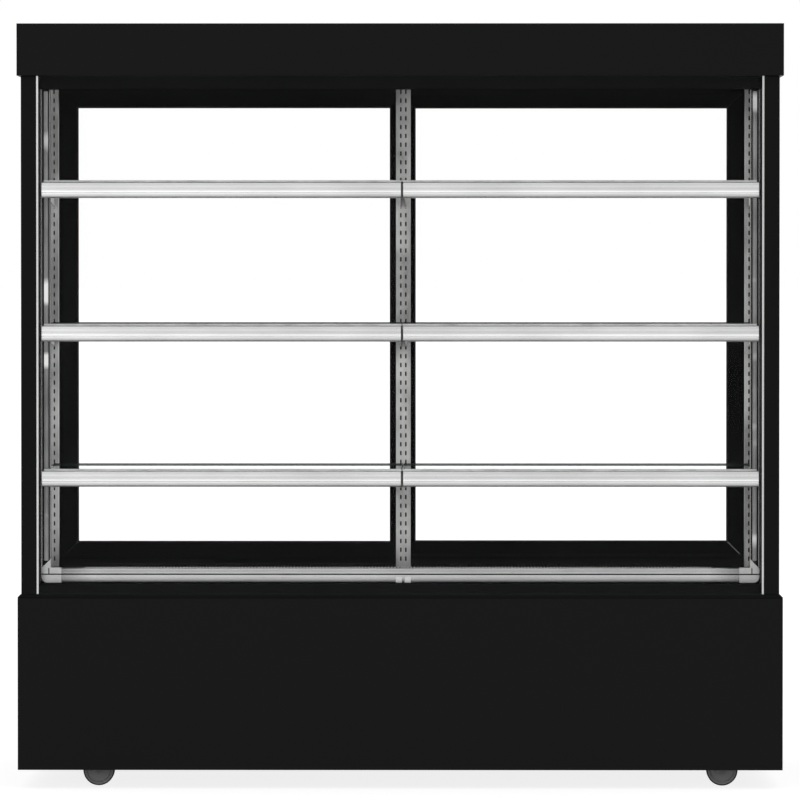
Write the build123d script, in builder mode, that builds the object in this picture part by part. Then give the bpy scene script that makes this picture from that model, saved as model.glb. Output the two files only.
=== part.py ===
"""Refrigerated pastry display case: square glass chamber with sliding rear doors, on a castor base.

Millimetres, +Z up, front towards -Y. The origin is on the floor, under the middle of the case.
"""

from build123d import *
import os

# Overall size
case_width = 1220.4
case_depth = 680.0
case_height = 1219.0

# Base cabinet
base_inset = 0.7
skirt_clearance = 30.0
base_top = 304.0
sheet = 1.5
flange = 20.0
rear_panel_recess = 18.0
chassis_underside = 65.0
chassis_floor = 2.0
chassis_lip = 40.0

# Insulated tub and its rim
rim_height = 6.0
rim_chamfer = 4.5
tub_underside = 235.0
tub_floor = 25.0
tub_inset = 8.0
tub_wall = 38.0

# Glass chamber
post_size = 24.0
post_wall = 2.0
post_inset_side = 6.4
post_inset_front = 5.0
canopy_height = 83.0
canopy_flange = 32.0
roof_thickness = 60.0
front_glass_thickness = 6.0
side_glass_thickness = 6.0
glass_inset = 4.0
trim_width = 3.6
trim_lip = 1.5
fit = 0.1
rail_depth = 40.0
rail_height = 21.0
sill_height = 17.0
seam = 0.5

# Lights in the front corners and along the deck
bar_height = 23.0
bar_depth = 15.0
bar_setback = 21.5
bar_lip = 6.5
bar_groove = 2.0
bar_round = 2.0
corner_block_width = 32.0
corner_block_proud = 1.0
corner_block_round = 10.0
channel_width = 15.0
channel_depth = 15.0
channel_wall = 1.5
lamp_diameter = 7.0
lamp_clip = 3.0
mitre_gap = 0.9
light_gap = 6.0
side_gap = 8.0

# Slotted pilasters
pilaster_setback = 320.0
pilaster_side_width = 14.3
pilaster_side_gap = 2.8
pilaster_centre_width = 24.0
pilaster_depth = 12.0
pilaster_wall = 1.5
slot_pitch = 14.45
slot_height = 7.5
slot_width = 2.5
slot_column_gap = 8.2
slot_margin = 10.0
centre_shift = 3.0

# Shelves
shelf_heights = {"lower": 481.3, "middle": 713.0, "upper": 942.0}
shelf_split = 1.2
shelf_end_gap = 2.0
profile_height = 25.0
profile_depth = 21.0
profile_step = 1.5
profile_step_height = 8.5
profile_ledge = 12.0
profile_crown = 7.0
glass_proud = 3.0
shelf_glass_thickness = 6.0
shelf_glass_margin = 3.0
notch_clearance = 1.0
bracket_thickness = 2.0
bracket_drop = 34.0
bracket_nose = 14.0
hook_height = 6.0
hook_reach = 5.0
hook_gap = 0.3

# Deck
deck_height = 29.0
deck_gap = 1.0
deck_slot_length = 30.0
deck_slot_width = 4.0
deck_slot_pitch = 42.0
deck_slot_rows = 3
deck_row_pitch = 12.0
deck_border = 30.0

# Sliding rear doors
door_setback = 600.0
door_thickness = 20.0
door_face_width = 30.0
door_overlap = 21.0
door_side_gap = 1.2
door_seat_gap = 0.3
door_run_gap = 0.6
door_fin = 2.8
door_glass_thickness = 12.0
door_glass_bite = 7.5
door_lift = 5.0
door_floor_gap = 27.0
track_lip = 3.4
track_capture = 9.0
jamb_depth = 60.0
pull_width = 18.0
pull_height = 130.0
pull_depth = 3.5

# Castors
wheel_diameter = 50.0
wheel_width = 20.0
wheel_trail = 16.0
wheel_tread = 3.0
axle_diameter = 6.0
axle_running = 0.05
fork_wall = 2.5
fork_side_gap = 1.0
fork_top = 3.0
castor_side_setback = 109.7
castor_front_setback = 80.0
castor_rear_setback = 80.0
castor_plate = 62.0
castor_plate_thickness = 3.0
kingpin_diameter = 10.0
kingpin_head = 16.0
kingpin_head_height = 2.5
castor_running = 0.3

# Refrigeration
compressor_diameter = 140.0
compressor_height = 150.0
compressor_foot = 6.0
compressor_foot_width = 168.0
terminal_reach = 28.0
terminal_width = 46.0
terminal_height = 50.0
terminal_level = 75.0
shell_round = 35.0
compressor_side_setback = 279.0
compressor_rear_setback = 280.0
condenser_width = 260.0
condenser_height = 150.0
condenser_depth = 44.0
condenser_side_setback = 279.0
condenser_rear_setback = 110.0
fin_pitch = 13.0
fin_thickness = 1.5
tube_diameter = 10.0
tube_rows = 4
fan_diameter = 120.0
fan_clearance = 2.0
fan_blades = 5
fan_hub = 34.0
fan_depth = 18.0
fan_seat = 0.3
shroud_thickness = 2.0
motor_diameter = 50.0
motor_length = 40.0
blade_pitch_angle = 35.0
blade_chord_share = 0.25
evaporator_width = 620.0
evaporator_height = 56.0
evaporator_depth = 90.0
evaporator_rear_setback = 250.0
evaporator_fan_diameter = 62.0
evaporator_fan_hub = 20.0
evaporator_motor_diameter = 30.0
evaporator_motor_length = 26.0
line_diameter = 8.0
filter_diameter = 22.0
filter_length = 90.0
line_offset = 24.0
line_bend = 16.0
pan_width = 240.0
pan_length = 250.0
pan_height = 30.0
pan_wall = 1.5
pan_gap = 0.3
pan_side_gap = 0.8

# Controls
control_width = 190.0
control_height = 80.0
control_depth = 45.0
control_side_setback = 179.0
control_z = 170.0
bezel_wall = 3.0
bezel_proud = 4.0
button_size = 11.0
button_pitch = 17.0
button_gap = 0.4
button_proud = 2.5
button_depth = 6.0
display_width = 44.0
rocker_width = 15.0
rocker_height = 24.0
rocker_depth = 10.0
rocker_gap = 0.5
rocker_spacing = 22.1
gland_diameter = 22.0
gland_length = 14.0
gland_bore = 9.0
gland_side_setback = 49.0
gland_z = 130.0

# Screws
screw_head = 8.0
screw_head_height = 2.0

# Places that follow from the sizes above
half_width = case_width / 2
front = -case_depth / 2
rear = case_depth / 2
base_half = half_width - base_inset
panel_inner_x = base_half - sheet
panel_inner_y = front + sheet
rear_panel_outer = rear - rear_panel_recess
rear_panel_inner = rear_panel_outer - sheet
machine_floor = chassis_underside + chassis_floor
rim_top = base_top + rim_height
canopy_bottom = case_height - canopy_height
ceiling_bottom = canopy_bottom + sheet
post_outer = half_width - post_inset_side
post_inner = post_outer - post_size
post_front = front + post_inset_front
post_rear = post_front + post_size
glass_front = post_front + glass_inset
glass_rear = glass_front + front_glass_thickness
rail_front = glass_rear + seam
rail_rear = rail_front + rail_depth
sill_top = rim_top + sill_height
rail_bottom = canopy_bottom - rail_height
light_outer = post_inner - light_gap
bar_front = rail_front + bar_setback
bar_rear = bar_front + bar_depth
bar_top = sill_top + bar_height
channel_front = bar_rear - channel_depth + side_gap / 2
channel_rear = channel_front + channel_depth
deck_top = rim_top + deck_height
pilaster_front = front + pilaster_setback
pilaster_rear = pilaster_front + pilaster_depth
cavity_floor = tub_underside + tub_floor
door_inner_front = front + door_setback
door_inner_rear = door_inner_front + door_thickness
door_outer_front = door_inner_rear + door_fin + 2 * door_run_gap
door_outer_rear = door_outer_front + door_thickness
track_front = door_inner_front - door_run_gap - track_lip
track_rear = door_outer_rear + door_run_gap + track_lip
track_bottom_top = rim_top + door_floor_gap - door_seat_gap
door_bottom = rim_top + door_floor_gap
door_top = canopy_bottom - door_lift
door_width = (2 * (post_inner - door_side_gap) + door_overlap) / 2
deck_front = channel_rear + seam
deck_rear = track_front - seam
castor_across = 2 * (base_half - castor_side_setback)
compressor_x = compressor_side_setback - base_half
compressor_y = rear - compressor_rear_setback
condenser_x = base_half - condenser_side_setback
condenser_y = rear - condenser_rear_setback
evaporator_y = rear - evaporator_rear_setback
control_x = base_half - control_side_setback
gland_x = base_half - gland_side_setback


def slab(x_span, y_span, z_span, mode=Mode.ADD):
    """Adds a box that fills three spans to the piece being built."""
    spans = (x_span, y_span, z_span)
    centre = tuple((low + high) / 2 for low, high in spans)
    sides = [abs(high - low) for low, high in spans]
    with Locations(centre):
        Box(*sides, mode=mode)


def rod(centre, diameter, length, direction="Z", mode=Mode.ADD):
    """Adds a cylinder about a centre, along X, Y or Z, to the piece being built."""
    turns = {"X": (0, 90, 0), "Y": (90, 0, 0), "Z": (0, 0, 0)}
    with Locations(centre):
        Cylinder(diameter / 2, length, rotation=turns[direction], mode=mode)


def on_side(sign, near, far):
    """Returns the span between two distances from the middle, on one side of it."""
    return tuple(sorted((sign * near, sign * far)))


def about(middle, size):
    """Returns the span of a size about its middle."""
    return (middle - size / 2, middle + size / 2)


def save(piece, name):
    """Labels a finished piece and writes it to its own file."""
    piece.part.label = name
    export_step(piece.part, f"parts/{name}.step")


os.makedirs("parts", exist_ok=True)
sides = {"left": -1, "right": 1}

# Front panel of the base, a sheet with flanges at its top and foot
with BuildPart() as base_front_panel:
    slab((-base_half, base_half), (front, panel_inner_y), (skirt_clearance, base_top))
    slab(
        (-panel_inner_x, panel_inner_x),
        (panel_inner_y, panel_inner_y + flange),
        (base_top - sheet, base_top),
    )
    slab(
        (-panel_inner_x, panel_inner_x),
        (panel_inner_y, panel_inner_y + flange),
        (skirt_clearance, skirt_clearance + sheet),
    )
save(base_front_panel, "base_front_panel")

# Side panels of the base, butted behind the front panel
side_flange_span = (panel_inner_y + flange + seam, rear_panel_inner - flange - seam)
for side, sign in sides.items():
    with BuildPart() as base_side_panel:
        slab(on_side(sign, panel_inner_x, base_half), (panel_inner_y, rear), (skirt_clearance, base_top))
        for low in (skirt_clearance, base_top - sheet):
            slab(on_side(sign, panel_inner_x - flange, panel_inner_x), side_flange_span, (low, low + sheet))
    save(base_side_panel, f"base_side_panel_{side}")

# Rear panel of the base, with louvres, the control window and the pan's doorway
louvre_length = 60.0
louvre_height = 5.0
louvre_pitch = 14.0
louvre_columns = 3
louvre_rows = 8
louvre_x = [condenser_x - control_width, compressor_x]
pan_doorway_top = machine_floor + pan_gap + pan_height + pan_side_gap
rear_span = (rear_panel_inner, rear_panel_outer)
with BuildPart() as base_rear_panel:
    slab((-panel_inner_x, panel_inner_x), rear_span, (skirt_clearance, base_top))
    slab(
        (-panel_inner_x, panel_inner_x),
        (rear_panel_inner - flange, rear_panel_inner),
        (base_top - sheet, base_top),
    )
    with Locations([(x, rear_panel_inner, control_z) for x in louvre_x]):
        with GridLocations(louvre_length + louvre_pitch, 0, louvre_columns, 1):
            for row in range(louvre_rows):
                lift = (row - (louvre_rows - 1) / 2) * louvre_pitch
                with Locations((0, 0, lift)):
                    Box(louvre_length, 4 * sheet, louvre_height, mode=Mode.SUBTRACT)
    slab(
        about(0, pan_width + 2 * pan_side_gap),
        (rear_panel_inner - sheet, rear_panel_outer + sheet),
        (machine_floor, pan_doorway_top),
        mode=Mode.SUBTRACT,
    )
    slab(
        about(control_x, control_width + 2 * seam),
        (rear_panel_inner - sheet, rear_panel_outer + sheet),
        about(control_z, control_height + 2 * seam),
        mode=Mode.SUBTRACT,
    )
    gland_hole = gland_diameter - 2 * bezel_wall + 2 * fit
    rod((gland_x, rear_panel_inner, gland_z), gland_hole, 4 * sheet, "Y", Mode.SUBTRACT)
save(base_rear_panel, "base_rear_panel")

# Chassis tray that everything in the base stands on
runner = 3.0
runner_height = 14.0
pan_edge = pan_width / 2 + pan_side_gap
with BuildPart() as base_chassis:
    slab(
        (-panel_inner_x, panel_inner_x),
        (panel_inner_y, rear_panel_inner),
        (chassis_underside, machine_floor),
    )
    slab(
        (-panel_inner_x, panel_inner_x),
        (panel_inner_y, panel_inner_y + chassis_floor),
        (machine_floor, machine_floor + chassis_lip),
    )
    for sign in sides.values():
        slab(
            on_side(sign, panel_inner_x - chassis_floor, panel_inner_x),
            (panel_inner_y, rear_panel_inner),
            (machine_floor, machine_floor + chassis_lip),
        )
        slab(
            on_side(sign, pan_edge, pan_edge + runner),
            (rear_panel_inner - pan_length, rear_panel_inner),
            (machine_floor, machine_floor + runner_height),
        )
save(base_chassis, "base_chassis")

# Insulated tub under the deck, with the chamfered rim that crowns the base
cavity_x = panel_inner_x - tub_wall
cavity_front = rail_rear + seam
cavity_rear = track_front - tub_wall / 2
with BuildPart() as insulated_tub:
    slab(
        (-(panel_inner_x - flange - tub_inset), panel_inner_x - flange - tub_inset),
        (panel_inner_y + flange + tub_inset, rear_panel_inner - flange - tub_inset),
        (tub_underside, base_top),
    )
    slab((-base_half, base_half), (front, rear), (base_top, rim_top))
    crown = insulated_tub.faces().sort_by(Axis.Z)[-1]
    chamfer(crown.edges(), rim_chamfer)
    slab(
        (-cavity_x, cavity_x),
        (cavity_front, cavity_rear),
        (cavity_floor, rim_top),
        mode=Mode.SUBTRACT,
    )
save(insulated_tub, "insulated_tub")

# Front sill and the top rail behind the front glass
with BuildPart() as front_sill:
    slab((-post_inner, post_inner), (rail_front, rail_rear), (rim_top, sill_top))
save(front_sill, "front_sill")

with BuildPart() as front_top_rail:
    slab((-post_inner, post_inner), (rail_front, rail_rear), (rail_bottom, canopy_bottom))
    slab(
        (-post_inner, post_inner),
        (rail_front + post_wall, rail_rear - post_wall),
        (rail_bottom + post_wall, canopy_bottom),
        mode=Mode.SUBTRACT,
    )
save(front_top_rail, "front_top_rail")

# Hollow posts at the front corners
for side, sign in sides.items():
    with BuildPart() as corner_post:
        slab(on_side(sign, post_inner, post_outer), (post_front, post_rear), (rim_top, canopy_bottom))
        slab(
            on_side(sign, post_inner + post_wall, post_outer - post_wall),
            (post_front + post_wall, post_rear - post_wall),
            (rim_top, canopy_bottom),
            mode=Mode.SUBTRACT,
        )
    save(corner_post, f"corner_post_{side}")

# Jambs at the rear, one each side of the doors
jamb_front = track_front
jamb_rear = jamb_front + jamb_depth
with BuildPart() as rear_jambs:
    for sign in sides.values():
        slab(on_side(sign, post_inner, post_outer), (jamb_front, jamb_rear), (rim_top, canopy_bottom))
        slab(
            on_side(sign, post_inner + post_wall, post_outer - post_wall),
            (jamb_front + post_wall, jamb_rear - post_wall),
            (rim_top, canopy_bottom),
            mode=Mode.SUBTRACT,
        )
save(rear_jambs, "rear_jambs")

# Front glass and the bright trims that hold its upright edges
with BuildPart() as front_glass:
    slab(
        (-(post_inner - trim_lip), post_inner - trim_lip),
        (glass_front, glass_rear),
        (rim_top, canopy_bottom),
    )
save(front_glass, "front_glass")

with BuildPart() as glass_trims:
    for sign in sides.values():
        slab(
            on_side(sign, post_inner - trim_width, post_inner),
            (glass_front - trim_lip, rail_front),
            (rim_top, canopy_bottom),
        )
    slab(
        (-(post_inner - trim_lip), post_inner - trim_lip),
        (glass_front, rail_front),
        (rim_top, canopy_bottom),
        mode=Mode.SUBTRACT,
    )
save(glass_trims, "glass_trims")

# Side glass, between the front post and the rear jamb
side_glass_middle = (post_inner + post_outer) / 2
for side, sign in sides.items():
    with BuildPart() as side_glass:
        slab(
            about(sign * side_glass_middle, side_glass_thickness),
            (post_rear, jamb_front),
            (rim_top, canopy_bottom),
        )
    save(side_glass, f"side_glass_{side}")

# Canopy, a folded shell that is open below inside its flange
with BuildPart() as top_canopy:
    slab((-half_width, half_width), (front, rear), (canopy_bottom, case_height))
    slab(
        (-(half_width - sheet), half_width - sheet),
        (front + sheet, rear - sheet),
        (ceiling_bottom, case_height - sheet),
        mode=Mode.SUBTRACT,
    )
    slab(
        (-(half_width - canopy_flange), half_width - canopy_flange),
        (front + canopy_flange, rear - canopy_flange),
        (canopy_bottom, ceiling_bottom),
        mode=Mode.SUBTRACT,
    )
save(top_canopy, "top_canopy")

with BuildPart() as ceiling_panel:
    slab(
        (-(half_width - sheet), half_width - sheet),
        (front + sheet, rear - sheet),
        (ceiling_bottom, ceiling_bottom + roof_thickness),
    )
save(ceiling_panel, "ceiling_panel")

# Bright bar along the deck's front edge, with a block at each end that meets the upright lamp in a mitre
bar_end = light_outer - corner_block_width
block_top = bar_top + corner_block_proud
groove_span = (bar_top - bar_lip - bar_groove, bar_top - bar_lip)
with BuildPart() as bottom_light_bar:
    for sign in sides.values():
        with BuildSketch(Plane.XZ.offset(-bar_rear)):
            with BuildLine():
                Polyline(
                    (sign * bar_end, sill_top),
                    (sign * light_outer, sill_top),
                    (sign * light_outer, bar_top),
                    (sign * (light_outer - channel_width), bar_top + channel_width),
                    (sign * (light_outer - channel_width), block_top),
                    (sign * bar_end, block_top),
                    close=True,
                )
            make_face()
        extrude(amount=bar_depth)
    foot_edges = bottom_light_bar.edges().filter_by(Axis.Y).group_by(Axis.Z)[0].sort_by(Axis.X)
    fillet([foot_edges[0], foot_edges[-1]], corner_block_round)
    for sign in sides.values():
        slab(
            on_side(sign, bar_end, light_outer),
            (bar_front, bar_front + bar_groove),
            groove_span,
            mode=Mode.SUBTRACT,
        )
    with BuildSketch(Plane.YZ.offset(-bar_end)) as bar_section:
        with BuildLine():
            Polyline(
                (bar_rear, sill_top),
                (bar_front + bar_round, sill_top),
                (bar_front, sill_top + bar_round),
                (bar_front, groove_span[0]),
                (bar_front + bar_groove, groove_span[0]),
                (bar_front + bar_groove, groove_span[1]),
                (bar_front, groove_span[1]),
                (bar_front, bar_top),
                (bar_rear, bar_top),
                close=True,
            )
        make_face()
    extrude(amount=2 * bar_end)
save(bottom_light_bar, "bottom_light_bar")

# Upright lamps in the front corners: an open channel with a round lamp on two clips
channel_bottom = bar_top + channel_width / 2
channel_middle = light_outer - channel_width / 2
lamp_length = rail_bottom - channel_bottom - 2 * side_gap
with BuildPart() as corner_lights:
    for sign in sides.values():
        slab(
            on_side(sign, light_outer - channel_width, light_outer),
            (channel_front, channel_rear),
            (bar_top, rail_bottom),
        )
        slab(
            on_side(sign, light_outer - channel_width + channel_wall, light_outer - channel_wall),
            (channel_front, channel_rear - channel_wall),
            (bar_top, rail_bottom),
            mode=Mode.SUBTRACT,
        )
        with BuildSketch(Plane.XZ.offset(-channel_rear)):
            with BuildLine():
                Polyline(
                    (sign * light_outer, bar_top),
                    (sign * light_outer, bar_top + mitre_gap),
                    (sign * (light_outer - channel_width), bar_top + channel_width + mitre_gap),
                    (sign * (light_outer - channel_width), bar_top),
                    close=True,
                )
            make_face()
        extrude(amount=channel_depth, mode=Mode.SUBTRACT)
        lamp_y = channel_front + channel_depth / 2
        lamp_z = (channel_bottom + rail_bottom) / 2
        rod((sign * channel_middle, lamp_y, lamp_z), lamp_diameter, lamp_length)
        for end in (-1, 1):
            slab(
                about(sign * channel_middle, lamp_clip),
                (lamp_y, channel_rear - channel_wall),
                about(lamp_z + end * lamp_length / 3, lamp_clip),
            )
save(corner_lights, "corner_lights")

# Slotted pilasters: channels with their slots in the front web
pilaster_top = ceiling_bottom
slot_start = deck_top + slot_margin + slot_height / 2
slot_count = int((pilaster_top - slot_margin - slot_start) / slot_pitch)
side_pilaster_outer = post_inner - pilaster_side_gap
side_slot_x = side_pilaster_outer - pilaster_side_width / 2


def pilaster(middle, width, foot, slot_columns):
    """Adds one slotted channel to the piece being built."""
    slab(about(middle, width), (pilaster_front, pilaster_rear), (foot, pilaster_top))
    slab(
        about(middle, width - 2 * pilaster_wall),
        (pilaster_front + pilaster_wall, pilaster_rear),
        (foot, pilaster_top),
        mode=Mode.SUBTRACT,
    )
    slots = [
        (column, pilaster_front, slot_start + row * slot_pitch)
        for column in slot_columns
        for row in range(slot_count)
    ]
    with Locations(*slots):
        Box(slot_width, 3 * pilaster_wall, slot_height, mode=Mode.SUBTRACT)


with BuildPart() as pilasters_side:
    for sign in sides.values():
        pilaster(sign * side_slot_x, pilaster_side_width, rim_top, [sign * side_slot_x])
save(pilasters_side, "pilasters_side")

centre_slots = [centre_shift - slot_column_gap / 2, centre_shift + slot_column_gap / 2]
with BuildPart() as pilaster_centre:
    pilaster(centre_shift, pilaster_centre_width, cavity_floor, centre_slots)
save(pilaster_centre, "pilaster_centre")

# Shelves in three tiers, each a left and a right half
profile_rear = channel_front - seam
profile_front = profile_rear - profile_depth
ledge = profile_height + glass_proud - shelf_glass_thickness
shelf_outer = light_outer - shelf_end_gap
shelf_spans = [
    (-shelf_outer, centre_shift - shelf_split / 2),
    (centre_shift + shelf_split / 2, shelf_outer),
]
glass_notch_x = light_outer - channel_width - notch_clearance
glass_notch_y = channel_rear + notch_clearance
shelf_glass_rear = pilaster_front - hook_gap


def light_profile(foot, left, right):
    """Adds one light profile: a crowned face over a narrower foot, with a ledge for the glass behind."""
    with BuildSketch(Plane.YZ.offset(left)) as section:
        with BuildLine():
            Polyline(
                (profile_rear, foot),
                (profile_front + 2 * profile_step, foot),
                (profile_front + profile_step, foot + profile_step),
                (profile_front + profile_step, foot + profile_step_height),
                (profile_front, foot + profile_step_height),
            )
            ThreePointArc(
                (profile_front, foot + profile_step_height),
                (profile_front + profile_step, foot + profile_height - profile_crown),
                (profile_front + profile_crown, foot + profile_height),
            )
            Polyline(
                (profile_front + profile_crown, foot + profile_height),
                (profile_rear - profile_ledge, foot + profile_height),
                (profile_rear - profile_ledge, foot + ledge),
                (profile_rear, foot + ledge),
                (profile_rear, foot),
            )
        make_face()
    extrude(section.sketch, amount=right - left)


for tier, foot in shelf_heights.items():
    with BuildPart() as shelf_lights:
        for left, right in shelf_spans:
            light_profile(foot, left, right)
    save(shelf_lights, f"shelf_lights_{tier}")
    with BuildPart() as shelf_glass:
        for left, right in shelf_spans:
            slab(
                (left + shelf_glass_margin * (left < 0), right - shelf_glass_margin * (left > 0)),
                (profile_rear - profile_ledge, shelf_glass_rear),
                (foot + ledge, foot + ledge + shelf_glass_thickness),
            )
        for sign in sides.values():
            slab(
                on_side(sign, glass_notch_x, light_outer),
                (profile_rear, glass_notch_y),
                (foot + ledge, foot + ledge + shelf_glass_thickness),
                mode=Mode.SUBTRACT,
            )
    save(shelf_glass, f"shelf_glass_{tier}")


def bracket(middle, nose_y, top):
    """Adds one tapered shelf bracket, with two hooks through the pilaster's slots."""
    plate_rear = pilaster_front - hook_gap
    with BuildSketch(Plane.YZ.offset(middle - bracket_thickness / 2)) as plate:
        with BuildLine():
            Polyline(
                (plate_rear, top),
                (nose_y, top),
                (nose_y, top - bracket_nose),
                (plate_rear, top - bracket_drop),
                close=True,
            )
        make_face()
    extrude(plate.sketch, amount=bracket_thickness)
    lowest_row = round((top - bracket_drop + slot_pitch / 2 - slot_start) / slot_pitch)
    for row in (lowest_row, lowest_row + 1):
        slab(
            about(middle, bracket_thickness),
            (plate_rear, pilaster_front + pilaster_wall + hook_reach),
            about(slot_start + row * slot_pitch, hook_height),
        )


with BuildPart() as shelf_brackets:
    for foot in shelf_heights.values():
        for sign in sides.values():
            bracket(sign * side_slot_x, glass_notch_y, foot + ledge)
        for column in centre_slots:
            bracket(column, profile_rear, foot + ledge)
save(shelf_brackets, "shelf_brackets")

# Deck in two inverted trays that stand on the rim, notched round the pilasters
deck_half = post_inner - seam
deck_spans = [
    (-deck_half, centre_shift - deck_gap / 2),
    (centre_shift + deck_gap / 2, deck_half),
]
with BuildPart() as deck_panels:
    for left, right in deck_spans:
        slab((left, right), (deck_front, deck_rear), (deck_top - sheet, deck_top))
        for edge in (deck_front, deck_rear - sheet):
            slab((left, right), (edge, edge + sheet), (rim_top, deck_top))
        columns = int((right - left - 2 * deck_border) / deck_slot_pitch)
        for row_y in (deck_front + deck_border, deck_rear - deck_border - deck_slot_rows * deck_row_pitch):
            with Locations(((left + right) / 2, row_y + deck_row_pitch, deck_top)):
                with GridLocations(deck_slot_pitch, deck_row_pitch, columns, deck_slot_rows):
                    Box(deck_slot_length, deck_slot_width, 4 * sheet, mode=Mode.SUBTRACT)
    notch_spans = [
        (-deck_half, seam - (side_pilaster_outer - pilaster_side_width)),
        about(centre_shift, pilaster_centre_width + 2 * seam),
        (side_pilaster_outer - pilaster_side_width - seam, deck_half),
    ]
    for notch_span in notch_spans:
        slab(
            notch_span,
            (pilaster_front - seam, pilaster_rear + seam),
            (deck_top - 2 * sheet, deck_top + sheet),
            mode=Mode.SUBTRACT,
        )
save(deck_panels, "deck_panels")

# Tracks that guide both doors, below and above
track_x = (-post_inner, post_inner)
fin_middle = (door_inner_rear + door_outer_front) / 2
lip_spans = [
    (track_front, track_front + track_lip),
    about(fin_middle, door_fin),
    (track_rear - track_lip, track_rear),
]
with BuildPart() as rear_door_tracks:
    slab(track_x, (track_front, track_rear), (rim_top, track_bottom_top))
    slab(track_x, (track_front, track_rear), (canopy_bottom - sheet, canopy_bottom))
    for lip_span in lip_spans:
        slab(track_x, lip_span, (track_bottom_top, door_bottom + track_capture))
        slab(track_x, lip_span, (door_top - track_capture, canopy_bottom - sheet))
save(rear_door_tracks, "rear_door_tracks")

# Sliding doors: the left one runs on the inner track, the right one on the outer
door_spans = {
    "left": (-(post_inner - door_side_gap), -(post_inner - door_side_gap) + door_width, door_inner_front),
    "right": (post_inner - door_side_gap - door_width, post_inner - door_side_gap, door_outer_front),
}
for side, (door_low, door_high, door_front) in door_spans.items():
    door_rear = door_front + door_thickness
    pane_span = about(door_front + door_thickness / 2, door_glass_thickness)
    window_x = (door_low + door_face_width, door_high - door_face_width)
    window_z = (door_bottom + door_face_width, door_top - door_face_width)
    pane_x = (window_x[0] - door_glass_bite, window_x[1] + door_glass_bite)
    pane_z = (window_z[0] - door_glass_bite, window_z[1] + door_glass_bite)
    jamb_stile = door_low + door_face_width / 2 if side == "left" else door_high - door_face_width / 2
    with BuildPart() as door_frame:
        slab((door_low, door_high), (door_front, door_rear), (door_bottom, door_top))
        slab(window_x, (door_front, door_rear), window_z, mode=Mode.SUBTRACT)
        slab(
            (pane_x[0] - fit, pane_x[1] + fit),
            (pane_span[0] - fit, pane_span[1] + fit),
            (pane_z[0], pane_z[1] + fit),
            mode=Mode.SUBTRACT,
        )
        slab(
            about(jamb_stile, pull_width),
            (door_rear - pull_depth, door_rear),
            about((door_bottom + door_top) / 2, pull_height),
            mode=Mode.SUBTRACT,
        )
    save(door_frame, f"door_frame_{side}")
    with BuildPart() as door_glass:
        slab(pane_x, pane_span, pane_z)
    save(door_glass, f"door_glass_{side}")

# Castors: fixed plates with kingpins, swivelling forks and wheels
axle_z = wheel_diameter / 2
plate_bottom = chassis_underside - castor_plate_thickness
fork_top_z = plate_bottom - castor_running
fork_under = fork_top_z - fork_top
castor_places = {
    "front_left": (-castor_across / 2, front + castor_front_setback),
    "front_right": (castor_across / 2, front + castor_front_setback),
    "rear_left": (-castor_across / 2, rear - castor_rear_setback),
    "rear_right": (castor_across / 2, rear - castor_rear_setback),
}
with BuildPart() as castor_plates:
    for place_x, place_y in castor_places.values():
        slab(about(place_x, castor_plate), about(place_y, castor_plate), (plate_bottom, chassis_underside))
        pin_foot = fork_under - castor_running - kingpin_head_height
        rod((place_x, place_y, (pin_foot + plate_bottom) / 2), kingpin_diameter, plate_bottom - pin_foot)
        rod((place_x, place_y, pin_foot + kingpin_head_height / 2), kingpin_head, kingpin_head_height)
save(castor_plates, "castor_plates")

fork_inside = wheel_width / 2 + fork_side_gap
fork_half_length = wheel_trail + axle_diameter
for place, (place_x, place_y) in castor_places.items():
    axle_x = place_x + wheel_trail
    with BuildPart() as castor_fork:
        slab(
            (place_x - fork_half_length, place_x + fork_half_length),
            about(place_y, 2 * (fork_inside + fork_wall)),
            (fork_under, fork_top_z),
        )
        rod(
            (place_x, place_y, (fork_under + fork_top_z) / 2),
            kingpin_diameter + 2 * axle_running,
            2 * fork_top,
            mode=Mode.SUBTRACT,
        )
        for sign in sides.values():
            leg_inner = place_y + sign * fork_inside
            with BuildSketch(Plane.XZ.offset(-min(leg_inner, leg_inner + sign * fork_wall))):
                with BuildLine():
                    Polyline(
                        (place_x - fork_half_length, fork_under),
                        (place_x + fork_half_length, fork_under),
                        (axle_x + axle_diameter, axle_z),
                        (axle_x, axle_z - axle_diameter),
                        (axle_x - axle_diameter, axle_z),
                        close=True,
                    )
                make_face()
            extrude(amount=-fork_wall)
        rod((axle_x, place_y, axle_z), axle_diameter, 2 * (fork_inside + fork_wall), "Y")
    save(castor_fork, f"castor_fork_{place}")
    with BuildPart() as castor_wheel:
        rod((axle_x, place_y, axle_z), wheel_diameter, wheel_width, "Y")
        chamfer(castor_wheel.edges().filter_by(GeomType.CIRCLE), wheel_tread / 2)
        rod((axle_x, place_y, axle_z), axle_diameter + 2 * axle_running, wheel_width, "Y", Mode.SUBTRACT)
    save(castor_wheel, f"castor_wheel_{place}")

# Hermetic compressor on its foot plate
shell_height = compressor_height - compressor_foot
terminal_outer = compressor_x + compressor_diameter / 2 + terminal_reach
with BuildPart() as compressor:
    slab(
        about(compressor_x, compressor_foot_width),
        about(compressor_y, compressor_diameter),
        (machine_floor, machine_floor + compressor_foot),
    )
    rod(
        (compressor_x, compressor_y, machine_floor + compressor_foot + shell_height / 2),
        compressor_diameter,
        shell_height,
    )
    fillet(compressor.edges().filter_by(GeomType.CIRCLE).sort_by(Axis.Z)[-1], shell_round)
    slab(
        (compressor_x + compressor_diameter / 2 - compressor_foot, terminal_outer),
        about(compressor_y, terminal_width),
        about(machine_floor + terminal_level, terminal_height),
    )
save(compressor, "compressor")


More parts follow.
